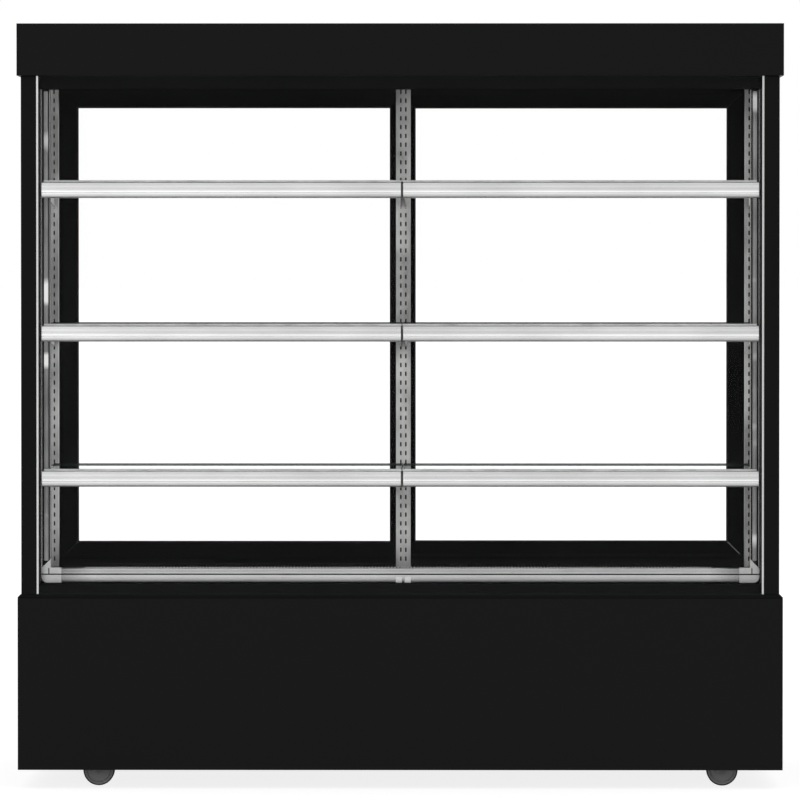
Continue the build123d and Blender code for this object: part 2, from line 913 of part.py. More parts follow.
def finned_coil(middle, width, depth, height, bottom):
    """Adds a coil to the piece being built: upright fins on rows of tubes along X."""
    count = int(width / fin_pitch)
    with Locations((*middle, bottom + height / 2)):
        with GridLocations(fin_pitch, 0, count, 1):
            Box(fin_thickness, depth, height)
    rows = [bottom + height * (row + 0.5) / tube_rows for row in range(tube_rows)]
    for row_z in rows:
        for side_y in (-depth / 4, depth / 4):
            rod((middle[0], middle[1] + side_y, row_z), tube_diameter, width, "X")


with BuildPart() as condenser_coil:
    finned_coil(
        (condenser_x, condenser_y),
        condenser_width,
        condenser_depth,
        condenser_height,
        machine_floor,
    )
save(condenser_coil, "condenser_coil")


def fan_plate(centre, width, height, thickness, opening, motor, motor_size):
    """Adds a plate with a round opening, and a motor held behind it by a crossbar."""
    x, y, z = centre
    slab(about(x, width), about(y, thickness), about(z, height))
    rod(centre, opening, 2 * thickness, "Y", Mode.SUBTRACT)
    bar_y = y - thickness / 2 - fan_depth
    rod((x, bar_y - motor_size / 2, z), motor, motor_size, "Y")
    for sign in sides.values():
        foot_x = x + sign * (opening / 2 + thickness)
        slab(about(foot_x, 2 * thickness), (bar_y - thickness, y), about(z, 4 * thickness))
    slab(about(x, opening + 4 * thickness), (bar_y - thickness, bar_y), about(z, 4 * thickness))


def fan_wheel(centre, diameter, hub, depth):
    """Adds a hub with pitched blades, turning about Y, to the piece being built."""
    x, y, z = centre
    rod(centre, hub, depth, "Y")
    blade_span = (diameter - hub) / 2
    with Locations(Location(centre, (90, 0, 0))):
        with PolarLocations(hub / 2 + blade_span / 2 - fin_thickness, fan_blades):
            Box(blade_span, diameter * blade_chord_share, fin_thickness, rotation=(blade_pitch_angle, 0, 0))


condenser_fan_y = condenser_y - condenser_depth / 2 - shroud_thickness / 2
condenser_fan_z = machine_floor + condenser_height / 2
condenser_centre = (condenser_x, condenser_fan_y, condenser_fan_z)
with BuildPart() as condenser_fan_mount:
    fan_plate(
        condenser_centre,
        condenser_width,
        condenser_height,
        shroud_thickness,
        fan_diameter + 2 * fan_clearance,
        motor_diameter,
        motor_length,
    )
save(condenser_fan_mount, "condenser_fan_mount")

fan_wheel_y = condenser_fan_y - shroud_thickness / 2 - fan_depth / 2 + fan_seat
with BuildPart() as condenser_fan:
    fan_wheel((condenser_x, fan_wheel_y, condenser_fan_z), fan_diameter, fan_hub, fan_depth - 2 * fan_seat)
save(condenser_fan, "condenser_fan")

# Evaporator coil and its fan, in the tub's cavity
with BuildPart() as evaporator_coil:
    finned_coil((0, evaporator_y), evaporator_width, evaporator_depth, evaporator_height, cavity_floor)
save(evaporator_coil, "evaporator_coil")

evaporator_fan_y = evaporator_y - evaporator_depth / 2 - shroud_thickness / 2
evaporator_plate_height = deck_top - sheet - cavity_floor - 2 * seam
evaporator_fan_z = cavity_floor + evaporator_plate_height / 2
with BuildPart() as evaporator_fan_mount:
    fan_plate(
        (0, evaporator_fan_y, evaporator_fan_z),
        evaporator_width,
        evaporator_plate_height,
        shroud_thickness,
        evaporator_fan_diameter + 2 * fan_clearance,
        evaporator_motor_diameter,
        evaporator_motor_length,
    )
save(evaporator_fan_mount, "evaporator_fan_mount")

evaporator_wheel_y = evaporator_fan_y - shroud_thickness / 2 - fan_depth / 2 + fan_seat
with BuildPart() as evaporator_fan:
    fan_wheel(
        (0, evaporator_wheel_y, evaporator_fan_z),
        evaporator_fan_diameter,
        evaporator_fan_hub,
        fan_depth - 2 * fan_seat,
    )
save(evaporator_fan, "evaporator_fan")

# Refrigerant lines on the chassis, with the filter-drier in the liquid line
line_z = machine_floor + filter_diameter / 2
line_start = terminal_outer + side_gap
line_end = condenser_x - condenser_width / 2 - side_gap
shell_front = compressor_y - compressor_diameter / 2
line_y = shell_front - line_offset
filter_x = (line_start + line_end) / 2
with BuildPart() as refrigerant_lines:
    with BuildLine() as suction_path:
        FilletPolyline(
            (compressor_x, shell_front, line_z),
            (compressor_x, line_y, line_z),
            (line_end, line_y, line_z),
            radius=line_bend,
        )
    with BuildSketch(suction_path.line ^ 0):
        Circle(line_diameter / 2)
    sweep(path=suction_path.line)
    rod((filter_x, line_y, line_z), filter_diameter, filter_length, "X")
save(refrigerant_lines, "refrigerant_lines")

# Condensate pan, which slides out through the rear panel
pan_floor = machine_floor + pan_gap
pan_rear = rear_panel_outer
with BuildPart() as condensate_pan:
    slab(about(0, pan_width), (pan_rear - pan_length, pan_rear), (pan_floor, pan_floor + pan_height))
    slab(
        about(0, pan_width - 2 * pan_wall),
        (pan_rear - pan_length + pan_wall, pan_rear - pan_wall),
        (pan_floor + pan_wall, pan_floor + pan_height),
        mode=Mode.SUBTRACT,
    )
    slab(
        about(0, pan_width / 3),
        (pan_rear, pan_rear + 3 * bezel_wall),
        (pan_floor + pan_height - pan_wall, pan_floor + pan_height),
    )
save(condensate_pan, "condensate_pan")

# Control box behind the rear panel: thermostat display, three keys and two rockers
bezel_y = rear_panel_outer + bezel_proud
bezel_inner = bezel_y - bezel_wall
key_z = control_z
key_x = {
    "down": control_x - display_width / 2 - button_pitch,
    "set": control_x + display_width / 2 + button_pitch,
    "up": control_x - display_width / 2 - 2 * button_pitch,
}
rocker_x = {
    "light": control_x + display_width / 2 + 2 * button_pitch,
    "power": control_x + display_width / 2 + 2 * button_pitch + rocker_spacing,
}
with BuildPart() as control_box:
    slab(
        about(control_x, control_width),
        (bezel_y - control_depth, bezel_y),
        about(control_z, control_height),
    )
    slab(
        about(control_x, control_width - 2 * bezel_wall),
        (bezel_y - control_depth + bezel_wall, bezel_inner),
        about(control_z, control_height - 2 * bezel_wall),
        mode=Mode.SUBTRACT,
    )
    for x in key_x.values():
        slab(
            about(x, button_size + 2 * button_gap),
            (bezel_inner, bezel_y),
            about(key_z, button_size + 2 * button_gap),
            mode=Mode.SUBTRACT,
        )
        slab(
            about(x, button_size / 3),
            (bezel_y - control_depth + bezel_wall, bezel_y - button_depth - bezel_wall),
            about(key_z, button_size / 3),
        )
    for x in rocker_x.values():
        slab(
            about(x, rocker_width + 2 * rocker_gap),
            (bezel_inner, bezel_y),
            about(control_z, rocker_height + 2 * rocker_gap),
            mode=Mode.SUBTRACT,
        )
save(control_box, "control_box")

for key, x in key_x.items():
    with BuildPart() as key_button:
        slab(
            about(x, button_size),
            (bezel_y + button_proud - button_depth, bezel_y + button_proud),
            about(key_z, button_size),
        )
    save(key_button, f"{key}_button")

for use, x in rocker_x.items():
    with BuildPart() as rocker:
        with BuildSketch(Plane.YZ.offset(x - rocker_width / 2)):
            with BuildLine():
                Polyline(
                    (bezel_y + button_proud, control_z + rocker_height / 2 - rocker_gap),
                    (bezel_y, control_z),
                    (bezel_y + button_proud / 2, control_z - rocker_height / 2 + rocker_gap),
                    (bezel_y - bezel_wall, control_z - rocker_height / 2 + rocker_gap),
                    (bezel_y - rocker_depth, control_z),
                    (bezel_y - bezel_wall, control_z + rocker_height / 2 - rocker_gap),
                    close=True,
                )
            make_face()
        extrude(amount=rocker_width)
    save(rocker, f"{use}_rocker")

# Cable gland for the supply, through the rear panel
with BuildPart() as power_inlet:
    rod((gland_x, rear_panel_outer + gland_length / 2, gland_z), gland_diameter, gland_length, "Y")
    rod((gland_x, rear_panel_inner, gland_z), gland_diameter - 2 * bezel_wall, 4 * sheet, "Y")
    rod((gland_x, rear_panel_outer, gland_z), gland_bore, 4 * gland_length, "Y", Mode.SUBTRACT)
save(power_inlet, "power_inlet")

# Screws that hold the rear panel to the side panels' edge
screw_places = [
    (sign * (panel_inner_x - 2 * screw_head), rear_panel_outer, level)
    for sign in sides.values()
    for level in (skirt_clearance + 2 * screw_head, base_top - 2 * screw_head)
]
with BuildPart() as panel_screws:
    for x, y, z in screw_places:
        rod((x, y + screw_head_height / 2, z), screw_head, screw_head_height, "Y")
save(panel_screws, "panel_screws")
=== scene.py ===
"""Looks of a refrigerated pastry display case, modelled in metres around its packed construction."""

import math
from contextlib import contextmanager

import bmesh
import bpy
from bpy.props import FloatProperty, FloatVectorProperty, PointerProperty
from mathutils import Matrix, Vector


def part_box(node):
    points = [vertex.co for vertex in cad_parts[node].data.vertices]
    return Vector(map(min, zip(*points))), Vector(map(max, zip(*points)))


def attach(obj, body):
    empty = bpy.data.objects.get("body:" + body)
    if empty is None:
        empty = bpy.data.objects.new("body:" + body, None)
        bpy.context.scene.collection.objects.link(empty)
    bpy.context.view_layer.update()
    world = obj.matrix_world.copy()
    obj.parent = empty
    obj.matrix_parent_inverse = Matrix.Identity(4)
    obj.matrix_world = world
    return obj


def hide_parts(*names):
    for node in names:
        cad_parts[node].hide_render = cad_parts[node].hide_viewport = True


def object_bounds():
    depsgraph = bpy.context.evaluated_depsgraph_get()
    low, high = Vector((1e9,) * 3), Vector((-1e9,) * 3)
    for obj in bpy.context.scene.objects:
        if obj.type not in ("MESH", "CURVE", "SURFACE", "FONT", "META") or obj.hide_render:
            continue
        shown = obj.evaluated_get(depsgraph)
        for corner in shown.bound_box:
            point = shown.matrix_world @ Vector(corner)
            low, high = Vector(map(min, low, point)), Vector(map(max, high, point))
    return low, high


bl_info = {
    "name": "Pastry display case",
    "version": (1, 0, 0),
    "blender": (4, 5, 0),
    "location": "View3D > Sidebar > Display case",
    "description": "Builds the finish and fine shapes of a refrigerated pastry display case",
    "category": "Add Mesh",
}

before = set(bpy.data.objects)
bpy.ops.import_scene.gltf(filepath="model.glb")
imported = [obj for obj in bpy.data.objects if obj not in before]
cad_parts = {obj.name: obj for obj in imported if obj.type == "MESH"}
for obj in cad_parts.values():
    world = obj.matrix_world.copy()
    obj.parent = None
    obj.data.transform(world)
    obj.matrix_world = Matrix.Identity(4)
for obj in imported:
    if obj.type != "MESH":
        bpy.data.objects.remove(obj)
CAD_BOX = [list(corner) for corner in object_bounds()]
CABINET = "cabinet"
TIERS = ("lower", "middle", "upper")
SIDES = {"left": -1, "right": 1}
DOORS = {"left": "inner_door", "right": "outer_door"}
CASTORS = ("front_left", "front_right", "rear_left", "rear_right")
MM = 0.001


# Painted reflections: lines of light and dark painted into the extrusions' colour, as (share of the height
# from the foot, grey)

PAINTED_PROFILE_REFLECTIONS = (
    (0.0, 0.43), (0.06, 0.27), (0.11, 0.4), (0.17, 0.56), (0.24, 0.62), (0.31, 0.86),
    (0.41, 0.9), (0.49, 0.62), (0.6, 0.57), (0.72, 0.67), (0.85, 0.57), (0.97, 0.66),
)
PAINTED_BAR_REFLECTIONS = (
    (0.04, 0.16), (0.13, 0.16), (0.2, 0.3), (0.3, 0.4), (0.45, 0.48),
    (0.68, 0.46), (0.76, 0.37), (0.86, 0.36), (0.95, 0.5),
)

# Places and sizes that several pieces share, in metres

SPLIT_X = 0.003
MITRE = 0.015
WELD_GAP = 0.00005

# Roundings of edges, by how a piece is made, in metres

DRAWN_ROUND = 0.0003
PRESSED_ROUND = 0.0004
MOULDED_ROUND = 0.0005
SOFT_ROUND = 0.0006

# A Mix node's colour sockets

MIX_FIRST, MIX_SECOND, MIX_RESULT = 6, 7, 2


# Sizes and colours that a user would change

def length(name, description, default):
    return FloatProperty(name=name, description=description, default=default, unit="LENGTH", precision=4)


def colour(name, description, default):
    return FloatVectorProperty(name=name, description=description, default=default, size=3, subtype="COLOR")


class CaseSizes(bpy.types.PropertyGroup):
    """Sizes of the fine shapes."""

    sheet_round: length("Sheet fold", "Rounding of a folded sheet's corner", 0.0008)
    metal_round: length("Extrusion edge", "Rounding of an extrusion's edge", 0.0005)
    glass_round: length("Glass edge", "Polished arris of a glass pane", 0.0006)
    hole_pitch: length("Hole pitch", "Pitch of the deck's perforation", 0.0052)
    hole_size: length("Hole size", "Side of one hole in the deck", 0.003)
    slot_pitch: length("Slot pitch", "Pitch of the slots in the uprights", 0.01445)
    slot_height: length("Slot height", "Height of one slot", 0.0075)
    slot_width: length("Slot width", "Width of one slot", 0.0025)
    first_slot: length("First slot", "Height of the lowest slot's middle above the deck", 0.01375)


class CaseColours(bpy.types.PropertyGroup):
    """Colours of the finishes."""

    coat: colour("Powder coat", "Satin black paint of the canopy and the base", (0.0096, 0.0096, 0.0099))
    door: colour("Door frame", "Matt black of the rear doors", (0.0042, 0.0042, 0.0042))
    bright: colour("Bright aluminium", "Light profiles of the shelves and the deck", (0.72, 0.72, 0.72))
    trim: colour("Trim", "Bright trims beside the front glass", (0.56, 0.56, 0.56))
    steel: colour("Slotted steel", "Uprights and brackets", (0.36, 0.36, 0.355))
    edge: colour("Glass edge", "Cut edge of the glass", (0.012, 0.022, 0.02))


class StageSettings(bpy.types.PropertyGroup):
    """Camera and light."""

    distance: length("Distance", "Camera distance from the case's front", 10.3)
    eye_height: length("Eye height", "Camera height above the floor", 0.838)
    aim_height: length("Aim height", "Height that the middle of the picture shows", 0.62)
    eye_side: length("Eye offset", "Camera offset to the right of the middle", 0.076)
    aim_side: length("Aim offset", "Place across the case that the middle of the picture shows", -0.0001)
    picture_width: length("Picture width", "Width that the picture spans at the case's front", 1.2732)
    key_power: FloatProperty(
        name="Key power", description="Power of the large lamp", default=34.0, unit="POWER"
    )


def sizes():
    return bpy.context.scene.case_sizes


def colours():
    return bpy.context.scene.case_colours


# Shader maths: a socket's value that can be used in a plain expression

class Value:
    """A number on its way through a shader."""

    def __init__(self, tree, socket):
        self.tree = tree
        self.socket = socket

    def math(self, operation, *others, swap=False):
        node = self.tree.nodes.new("ShaderNodeMath")
        node.operation = operation
        ends = [self, *others]
        if swap:
            ends.reverse()
        for slot, end in zip(node.inputs, ends):
            feed(self.tree, slot, end)
        return Value(self.tree, node.outputs[0])

    def __add__(self, other):
        return self.math("ADD", other)

    def __sub__(self, other):
        return self.math("SUBTRACT", other)

    def __rsub__(self, other):
        return self.math("SUBTRACT", other, swap=True)

    def __mul__(self, other):
        return self.math("MULTIPLY", other)

    def __truediv__(self, other):
        return self.math("DIVIDE", other)

    __radd__ = __add__
    __rmul__ = __mul__


def feed(tree, slot, end):
    """Links a value to a socket, or sets the socket to a plain number or colour."""
    if isinstance(end, Value):
        tree.links.new(end.socket, slot)
    else:
        slot.default_value = end


class Finish:
    """One material, with its principled shader and short ways to add nodes."""

    def __init__(self, name, base, roughness, **constants):
        self.material = bpy.data.materials.new(name)
        self.material.use_nodes = True
        self.tree = self.material.node_tree
        self.tree.nodes.clear()
        self.output = self.tree.nodes.new("ShaderNodeOutputMaterial")
        self.shader = self.tree.nodes.new("ShaderNodeBsdfPrincipled")
        self.tree.links.new(self.shader.outputs[0], self.output.inputs[0])
        self.shader.inputs["Base Color"].default_value = (*base, 1.0)
        self.shader.inputs["Roughness"].default_value = roughness
        for socket, constant in constants.items():
            self.shader.inputs[socket.replace("_", " ")].default_value = constant
        self.material.diffuse_color = (*base, 1.0)

    def node(self, kind, settings=None, out=0, **ends):
        made = self.tree.nodes.new(f"ShaderNode{kind}")
        for key, setting in (settings or {}).items():
            setattr(made, key, setting)
        for socket, end in ends.items():
            feed(self.tree, made.inputs[socket.replace("_", " ")], end)
        return Value(self.tree, made.outputs[out])

    def place(self, scale=(1, 1, 1)):
        """The place on the object, in metres, stretched by a scale for each axis."""
        coords = self.node("TexCoord", out="Object")
        return self.node("Mapping", Vector=coords, Scale=scale)

    def axis(self, name):
        """One coordinate of the place on the object, in metres."""
        return self.node("SeparateXYZ", out=name, Vector=self.node("TexCoord", out="Object"))

    def noise(self, scale, detail=2.0, stretch=(1, 1, 1)):
        return self.node("TexNoise", out="Fac", Vector=self.place(stretch), Scale=scale, Detail=detail)

    def spread(self, value, low, high, start, end):
        """Maps a span of a value onto another, held at its ends."""
        return self.node(
            "MapRange", Value=value, From_Min=low, From_Max=high, To_Min=start, To_Max=end
        )

    def blend(self, factor, first, second):
        made = self.tree.nodes.new("ShaderNodeMix")
        made.data_type = "RGBA"
        feed(self.tree, made.inputs["Factor"], factor)
        for slot, end in ((MIX_FIRST, first), (MIX_SECOND, second)):
            feed(self.tree, made.inputs[slot], end if isinstance(end, Value) else (*end, 1.0))
        return Value(self.tree, made.outputs[MIX_RESULT])

    def ramp(self, value, bands):
        """Soft bands of grey along a value, given as (place, grey) from low to high."""
        made = self.tree.nodes.new("ShaderNodeValToRGB")
        made.color_ramp.interpolation = "EASE"
        stops = made.color_ramp.elements
        while len(stops) < len(bands):
            stops.new(0.5)
        for stop, (place, _) in zip(stops, bands):
            stop.position = place
        for stop, (_, grey) in zip(stops, bands):
            stop.color = (grey, grey, grey, 1.0)
        feed(self.tree, made.inputs[0], value)
        return Value(self.tree, made.outputs[0])

    def scaled(self, colour_value, factor):
        """A colour times a number."""
        made = self.tree.nodes.new("ShaderNodeVectorMath")
        made.operation = "SCALE"
        feed(self.tree, made.inputs[0], colour_value)
        feed(self.tree, made.inputs["Scale"], factor)
        return Value(self.tree, made.outputs[0])

    def bump(self, height, strength, distance):
        normal = self.node("Bump", Height=height, Strength=strength, Distance=distance)
        self.tree.links.new(normal.socket, self.shader.inputs["Normal"])

    def drive(self, socket, value):
        self.tree.links.new(value.socket, self.shader.inputs[socket])


def shade(base, factor):
    return tuple(channel * factor for channel in base)


def powder_coat(name, base, roughness=0.42, gloss=0.12, peel=0.06):
    """Satin powder coat: a fine orange peel, with faint cloudiness in its colour and gloss."""
    coat = Finish(name, base, roughness, Specular_IOR_Level=gloss)
    cloud = coat.noise(3.0, 3.0)
    speck = coat.noise(1300.0, 2.0)
    tone = cloud * 0.7 + speck * 0.3
    coat.drive("Roughness", coat.spread(cloud, 0.3, 0.7, roughness - 0.05, roughness + 0.07))
    coat.drive("Base Color", coat.blend(tone, shade(base, 0.8), shade(base, 1.25)))
    coat.bump(speck, peel, 0.0001)
    return coat.material


def bright_aluminium(name, base, bands=None, foot=0.0, height=1.0, painted_shade_from=None):
    """Bright anodised extrusion with drawn lines and slow waves.

    The bands are painted reflections: light and dark lines along a profile's face, painted into its colour as
    (share of its height, grey).
    Painted shade darkens a profile on its last stretch before a place along X, where the corners shade it.
    """
    metal = Finish(name, base, 0.3, Metallic=1.0, Specular_IOR_Level=0.3)
    drawn = metal.noise(1400.0, 2.0, (0.01, 1, 1))
    wave = metal.noise(7.0, 2.0, (1, 3, 3))
    tone = metal.spread(wave, 0.3, 0.7, 0.92, 1.07)
    if bands:
        # The ramp paints reflections into the base colour, as light and dark bands up the face.
        share = (metal.axis("Z") - foot) / height
        painted_reflection = metal.ramp(share + (drawn - 0.5) * 0.02, bands)
        # Painted shade: the colour darkens to half on the last 5 cm before that place along X.
        if painted_shade_from:
            along = metal.axis("X").math("ABSOLUTE")
            tone = tone * metal.spread(along, painted_shade_from - 0.05, painted_shade_from, 1.0, 0.5)
        metal.drive("Base Color", metal.scaled(painted_reflection, tone))
    else:
        metal.drive("Base Color", metal.blend(wave, shade(base, 0.9), shade(base, 1.08)))
    metal.drive("Roughness", metal.spread(drawn, 0.3, 0.7, 0.24, 0.38))
    metal.bump(drawn, 0.1, 0.0002)
    return metal.material


def slotted_steel(name, base):
    """Brushed steel with painted reflections: soft bright and dark patches of its bay, painted into its
    colour.
    """
    steel = Finish(name, base, 0.34, Metallic=1.0)
    painted_reflection_patch = steel.noise(9.0, 2.0, (1.5, 1.5, 1))
    grain = steel.noise(700.0, 3.0, (1, 1, 0.05))
    mottle = steel.noise(120.0, 3.0, (1, 1, 0.35))
    # Painted reflection: the patches and a finer mottle lighten and darken the colour.
    tone = steel.spread(painted_reflection_patch, 0.42, 0.62, 0.0, 1.0) * 0.6 + mottle * 0.4
    steel.drive("Base Color", steel.blend(tone, shade(base, 0.45), shade(base, 1.6)))
    steel.drive("Roughness", steel.spread(grain, 0.3, 0.7, 0.3, 0.46))
    steel.bump(grain, 0.12, 0.0002)
    return steel.material


def zinc_plate(name, base=(0.5, 0.51, 0.53)):
    """Bright zinc with faint spangle."""
    zinc = Finish(name, base, 0.36, Metallic=1.0)
    spangle = zinc.noise(160.0, 4.0)
    zinc.drive("Base Color", zinc.blend(spangle, shade(base, 0.72), shade(base, 1.25)))
    zinc.drive("Roughness", zinc.spread(spangle, 0.3, 0.7, 0.28, 0.46))
    zinc.bump(spangle, 0.08, 0.0002)
    return zinc.material


def clear_glass(name, straight=0.002, grazing=0.4):
    """Clear glass: almost nothing seen straight through it, a mirror at a grazing angle."""
    glass = Finish(name, (0.94, 0.98, 0.97), 0.03, Metallic=1.0)
    facing = glass.node("LayerWeight", out="Fresnel", Blend=0.25)
    smear = glass.noise(5.0, 3.0)
    mirror = glass.spread(facing, 0.1, 0.95, straight, grazing)
    glass.drive("Alpha", mirror * glass.spread(smear, 0.3, 0.7, 0.9, 1.1))
    return glass.material


def glass_edge(name, base, top=None):
    """Cut and polished glass edge, dark with a little green.

    Seen from above, a shelf's edge is dark only along its top arris.
    """
    edge = Finish(name, base, 0.12, Specular_IOR_Level=0.5)
    streak = edge.noise(40.0, 3.0, (1, 1, 0.4))
    edge.drive("Base Color", edge.blend(streak, shade(base, 0.7), shade(base, 1.8)))
    if top:
        edge.drive("Alpha", edge.spread(edge.axis("Z"), top - 4.4 * MM, top - 3.8 * MM, 0.06, 1.0))
    return edge.material


def moulded(name, base, roughness=0.45, grain=1500.0):
    """Moulded plastic or rubber with a fine texture."""
    plastic = Finish(name, base, roughness, Specular_IOR_Level=0.35)
    texture = plastic.noise(grain, 2.0)
    cloud = plastic.noise(30.0, 3.0)
    plastic.drive("Base Color", plastic.blend(cloud, shade(base, 0.85), shade(base, 1.18)))
    plastic.drive("Roughness", plastic.spread(cloud, 0.3, 0.7, roughness - 0.06, roughness + 0.08))
    plastic.bump(texture, 0.15, 0.0002)
    return plastic.material


def lamp_tube(name):
    """Frosted tube over its light strip, its light off: a faint painted glow standing in for light on it in
    the channel's shade, and painted highlights (glints) spread unevenly along it.
    """
    tube = Finish(name, (0.08, 0.08, 0.08), 0.4, Emission_Strength=1.0)
    painted_glint = tube.noise(17.0, 1.0, (0.2, 0.2, 1))
    haze = tube.noise(60.0, 3.0, (1, 1, 0.4))
    # Painted highlights and a faint painted glow, in the emission colour.
    bright = tube.spread(painted_glint, 0.58, 0.66, 0.0, 0.7) + tube.spread(haze, 0.3, 0.7, 0.0, 0.12)
    tube.drive("Emission Color", tube.blend(bright, (0.1, 0.1, 0.1), (0.9, 0.9, 0.9)))
    tube.drive("Roughness", tube.spread(haze, 0.3, 0.7, 0.34, 0.46))
    return tube.material


def make_finishes():
    """Builds each finish once and returns them by name."""
    shades = colours()
    return {
        "coat": powder_coat("powder_coat_black", shades.coat, gloss=0.06),
        "post": powder_coat("post_black", shade(shades.coat, 1.15), 0.5, 0.03),
        "inner_coat": powder_coat("inner_black", shade(shades.coat, 1.1), 0.55, 0.0),
        "deck": powder_coat("deck_black", shade(shades.coat, 0.9), 0.6, 0.0),
        "door": powder_coat("door_black", shades.door, 0.5, 0.04),
        "trim": bright_aluminium("bright_trim", shades.trim),
        "cast": zinc_plate("cast_corner", (0.4, 0.4, 0.4)),
        "cap": moulded("end_cap_grey", (0.05, 0.05, 0.05), 0.5),
        "steel": slotted_steel("slotted_steel", shades.steel),
        "zinc": zinc_plate("zinc_plate"),
        "fins": zinc_plate("coil_fins", (0.7, 0.7, 0.71)),
        "copper": zinc_plate("copper_tube", (0.68, 0.34, 0.2)),
        "glass": clear_glass("clear_glass"),
        "shelf_glass": clear_glass("shelf_glass", 0.005, 0.1),
        "edge": glass_edge("glass_edge", shades.edge),
        "lit_edge": glass_edge("lit_glass_edge", (0.6, 0.61, 0.605)),
        "lamp": lamp_tube("lamp_tube"),
        "diffuser": moulded("lamp_diffuser", (0.8, 0.8, 0.78), 0.3),
        "plastic": moulded("black_plastic", (0.012, 0.012, 0.012)),
        "panel": moulded("control_panel", (0.03, 0.03, 0.032), 0.5),
        "key": moulded("key_rubber", (0.12, 0.12, 0.125), 0.6),
        "channel_edge": bright_aluminium("channel_edge", (0.24, 0.24, 0.24)),
        "tyre": moulded("tyre_rubber", (0.03, 0.03, 0.03), 0.6),
        "hub": moulded("wheel_hub_grey", (0.36, 0.36, 0.36), 0.4),
        "fork": moulded("fork_grey", (0.3, 0.3, 0.3), 0.45),
        "gloss": moulded("gloss_black", (0.01, 0.01, 0.011), 0.12, 200.0),
        "gasket": moulded("door_gasket", (0.01, 0.01, 0.01), 0.7),
    }


FINISHES = {}


# Modelling helpers, each a few steps of modelling by hand

def select_only(piece):
    bpy.ops.object.select_all(action="DESELECT")
    piece.select_set(True)
    bpy.context.view_layer.objects.active = piece


@contextmanager
def editing(piece):
    """Works on one piece in edit mode, with nothing selected at first."""
    select_only(piece)
    bpy.ops.object.mode_set(mode="EDIT")
    bpy.ops.mesh.select_mode(type="FACE")
    bpy.ops.mesh.select_all(action="DESELECT")
    yield
    bpy.ops.object.mode_set(mode="OBJECT")


def pick(piece, kind, test):
    """Selects the faces or edges of the piece in edit mode whose place passes the test."""
    bpy.ops.mesh.select_mode(type="FACE" if kind == "faces" else "EDGE")
    bpy.ops.mesh.select_all(action="DESELECT")
    shape = bmesh.from_edit_mesh(piece.data)
    for item in getattr(shape, kind):
        if kind == "faces":
            chosen = test(item.calc_center_median(), item.normal)
        else:
            ends = [vertex.co for vertex in item.verts]
            chosen = test((ends[0] + ends[1]) / 2, (ends[1] - ends[0]).normalized())
        item.select_set(chosen)
    bmesh.update_edit_mesh(piece.data)


def settle(piece, name):
    """Applies the piece's place, turn and scale to its mesh and names it."""
    select_only(piece)
    bpy.ops.object.transform_apply(location=True, rotation=True, scale=True)
    piece.name = piece.data.name = name
    return piece


def block(name, low, high):
    """A box between two corners."""
    low, high = Vector(low), Vector(high)
    bpy.ops.object.select_all(action="DESELECT")
    bpy.ops.mesh.primitive_cube_add(size=1, location=(low + high) / 2)
    piece = bpy.context.object
    piece.scale = high - low
    return settle(piece, name)


def drum(name, centre, radius, depth, axis="Z", sides=48):
    """A cylinder about a centre, along an axis."""
    turns = {"X": (0, math.pi / 2, 0), "Y": (math.pi / 2, 0, 0), "Z": (0, 0, 0)}
    bpy.ops.object.select_all(action="DESELECT")
    bpy.ops.mesh.primitive_cylinder_add(
        vertices=sides, radius=radius, depth=depth, location=centre, rotation=turns[axis]
    )
    return settle(bpy.context.object, name)


def apply_modifier(piece, kind, **settings):
    select_only(piece)
    modifier = piece.modifiers.new(kind.title(), kind)
    for key, setting in settings.items():
        setattr(modifier, key, setting)
    bpy.ops.object.modifier_apply(modifier=modifier.name)


def round_edges(piece, width, segments=2, angle=30):
    """Rounds every edge that turns by more than an angle, and shades what is smooth."""
    apply_modifier(
        piece,
        "BEVEL",
        width=width,
        segments=segments,
        limit_method="ANGLE",
        angle_limit=math.radians(angle),
    )
    select_only(piece)
    bpy.ops.object.shade_smooth_by_angle(angle=math.radians(angle))
    apply_modifier(piece, "WEIGHTED_NORMAL", keep_sharp=True)


def cut_out(piece, low, high):
    """Cuts a box out of a piece."""
    cutter = block("cutter", low, high)
    apply_modifier(piece, "BOOLEAN", object=cutter, operation="DIFFERENCE", solver="EXACT")
    bpy.data.objects.remove(cutter, do_unlink=True)


def repeat(piece, count, step, **settings):
    """Copies a piece in a row, a step apart."""
    apply_modifier(
        piece,
        "ARRAY",
        count=count,
        use_relative_offset=False,
        use_constant_offset=True,
        constant_offset_displace=step,
        **settings,
    )


def extrusion(name, section, low, high, axis="X"):
    """A section drawn as an outline, pulled out along X, Y or Z between two places."""
    order = {"X": (2, 0, 1), "Y": (0, 2, 1), "Z": (0, 1, 2)}[axis]
    mesh = bpy.data.meshes.new(name)
    points = []
    for across, up in section:
        parts = (across, up, low)
        points.append(tuple(parts[i] for i in order))
    mesh.from_pydata(points, [], [tuple(range(len(points)))])
    piece = bpy.data.objects.new(name, mesh)
    bpy.context.scene.collection.objects.link(piece)
    step = [0.0, 0.0, 0.0]
    step["XYZ".index(axis)] = high - low
    with editing(piece):
        bpy.ops.mesh.select_all(action="SELECT")
        bpy.ops.mesh.extrude_region_move(TRANSFORM_OT_translate={"value": step})
        bpy.ops.mesh.select_all(action="SELECT")
        bpy.ops.mesh.normals_make_consistent(inside=False)
    return piece


def join(name, pieces):
    bpy.ops.object.select_all(action="DESELECT")
    for piece in pieces:
        piece.select_set(True)
    bpy.context.view_layer.objects.active = pieces[0]
    bpy.ops.object.join()
    pieces[0].name = pieces[0].data.name = name
    return pieces[0]


def finish_piece(piece, finish, body=CABINET, nodes=()):
    """Gives a piece its finish, lets it ride on its body and stand for CAD nodes."""
    if finish and not piece.data.materials:
        piece.data.materials.append(FINISHES[finish])
    if nodes:
        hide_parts(*nodes)
    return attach(piece, body)


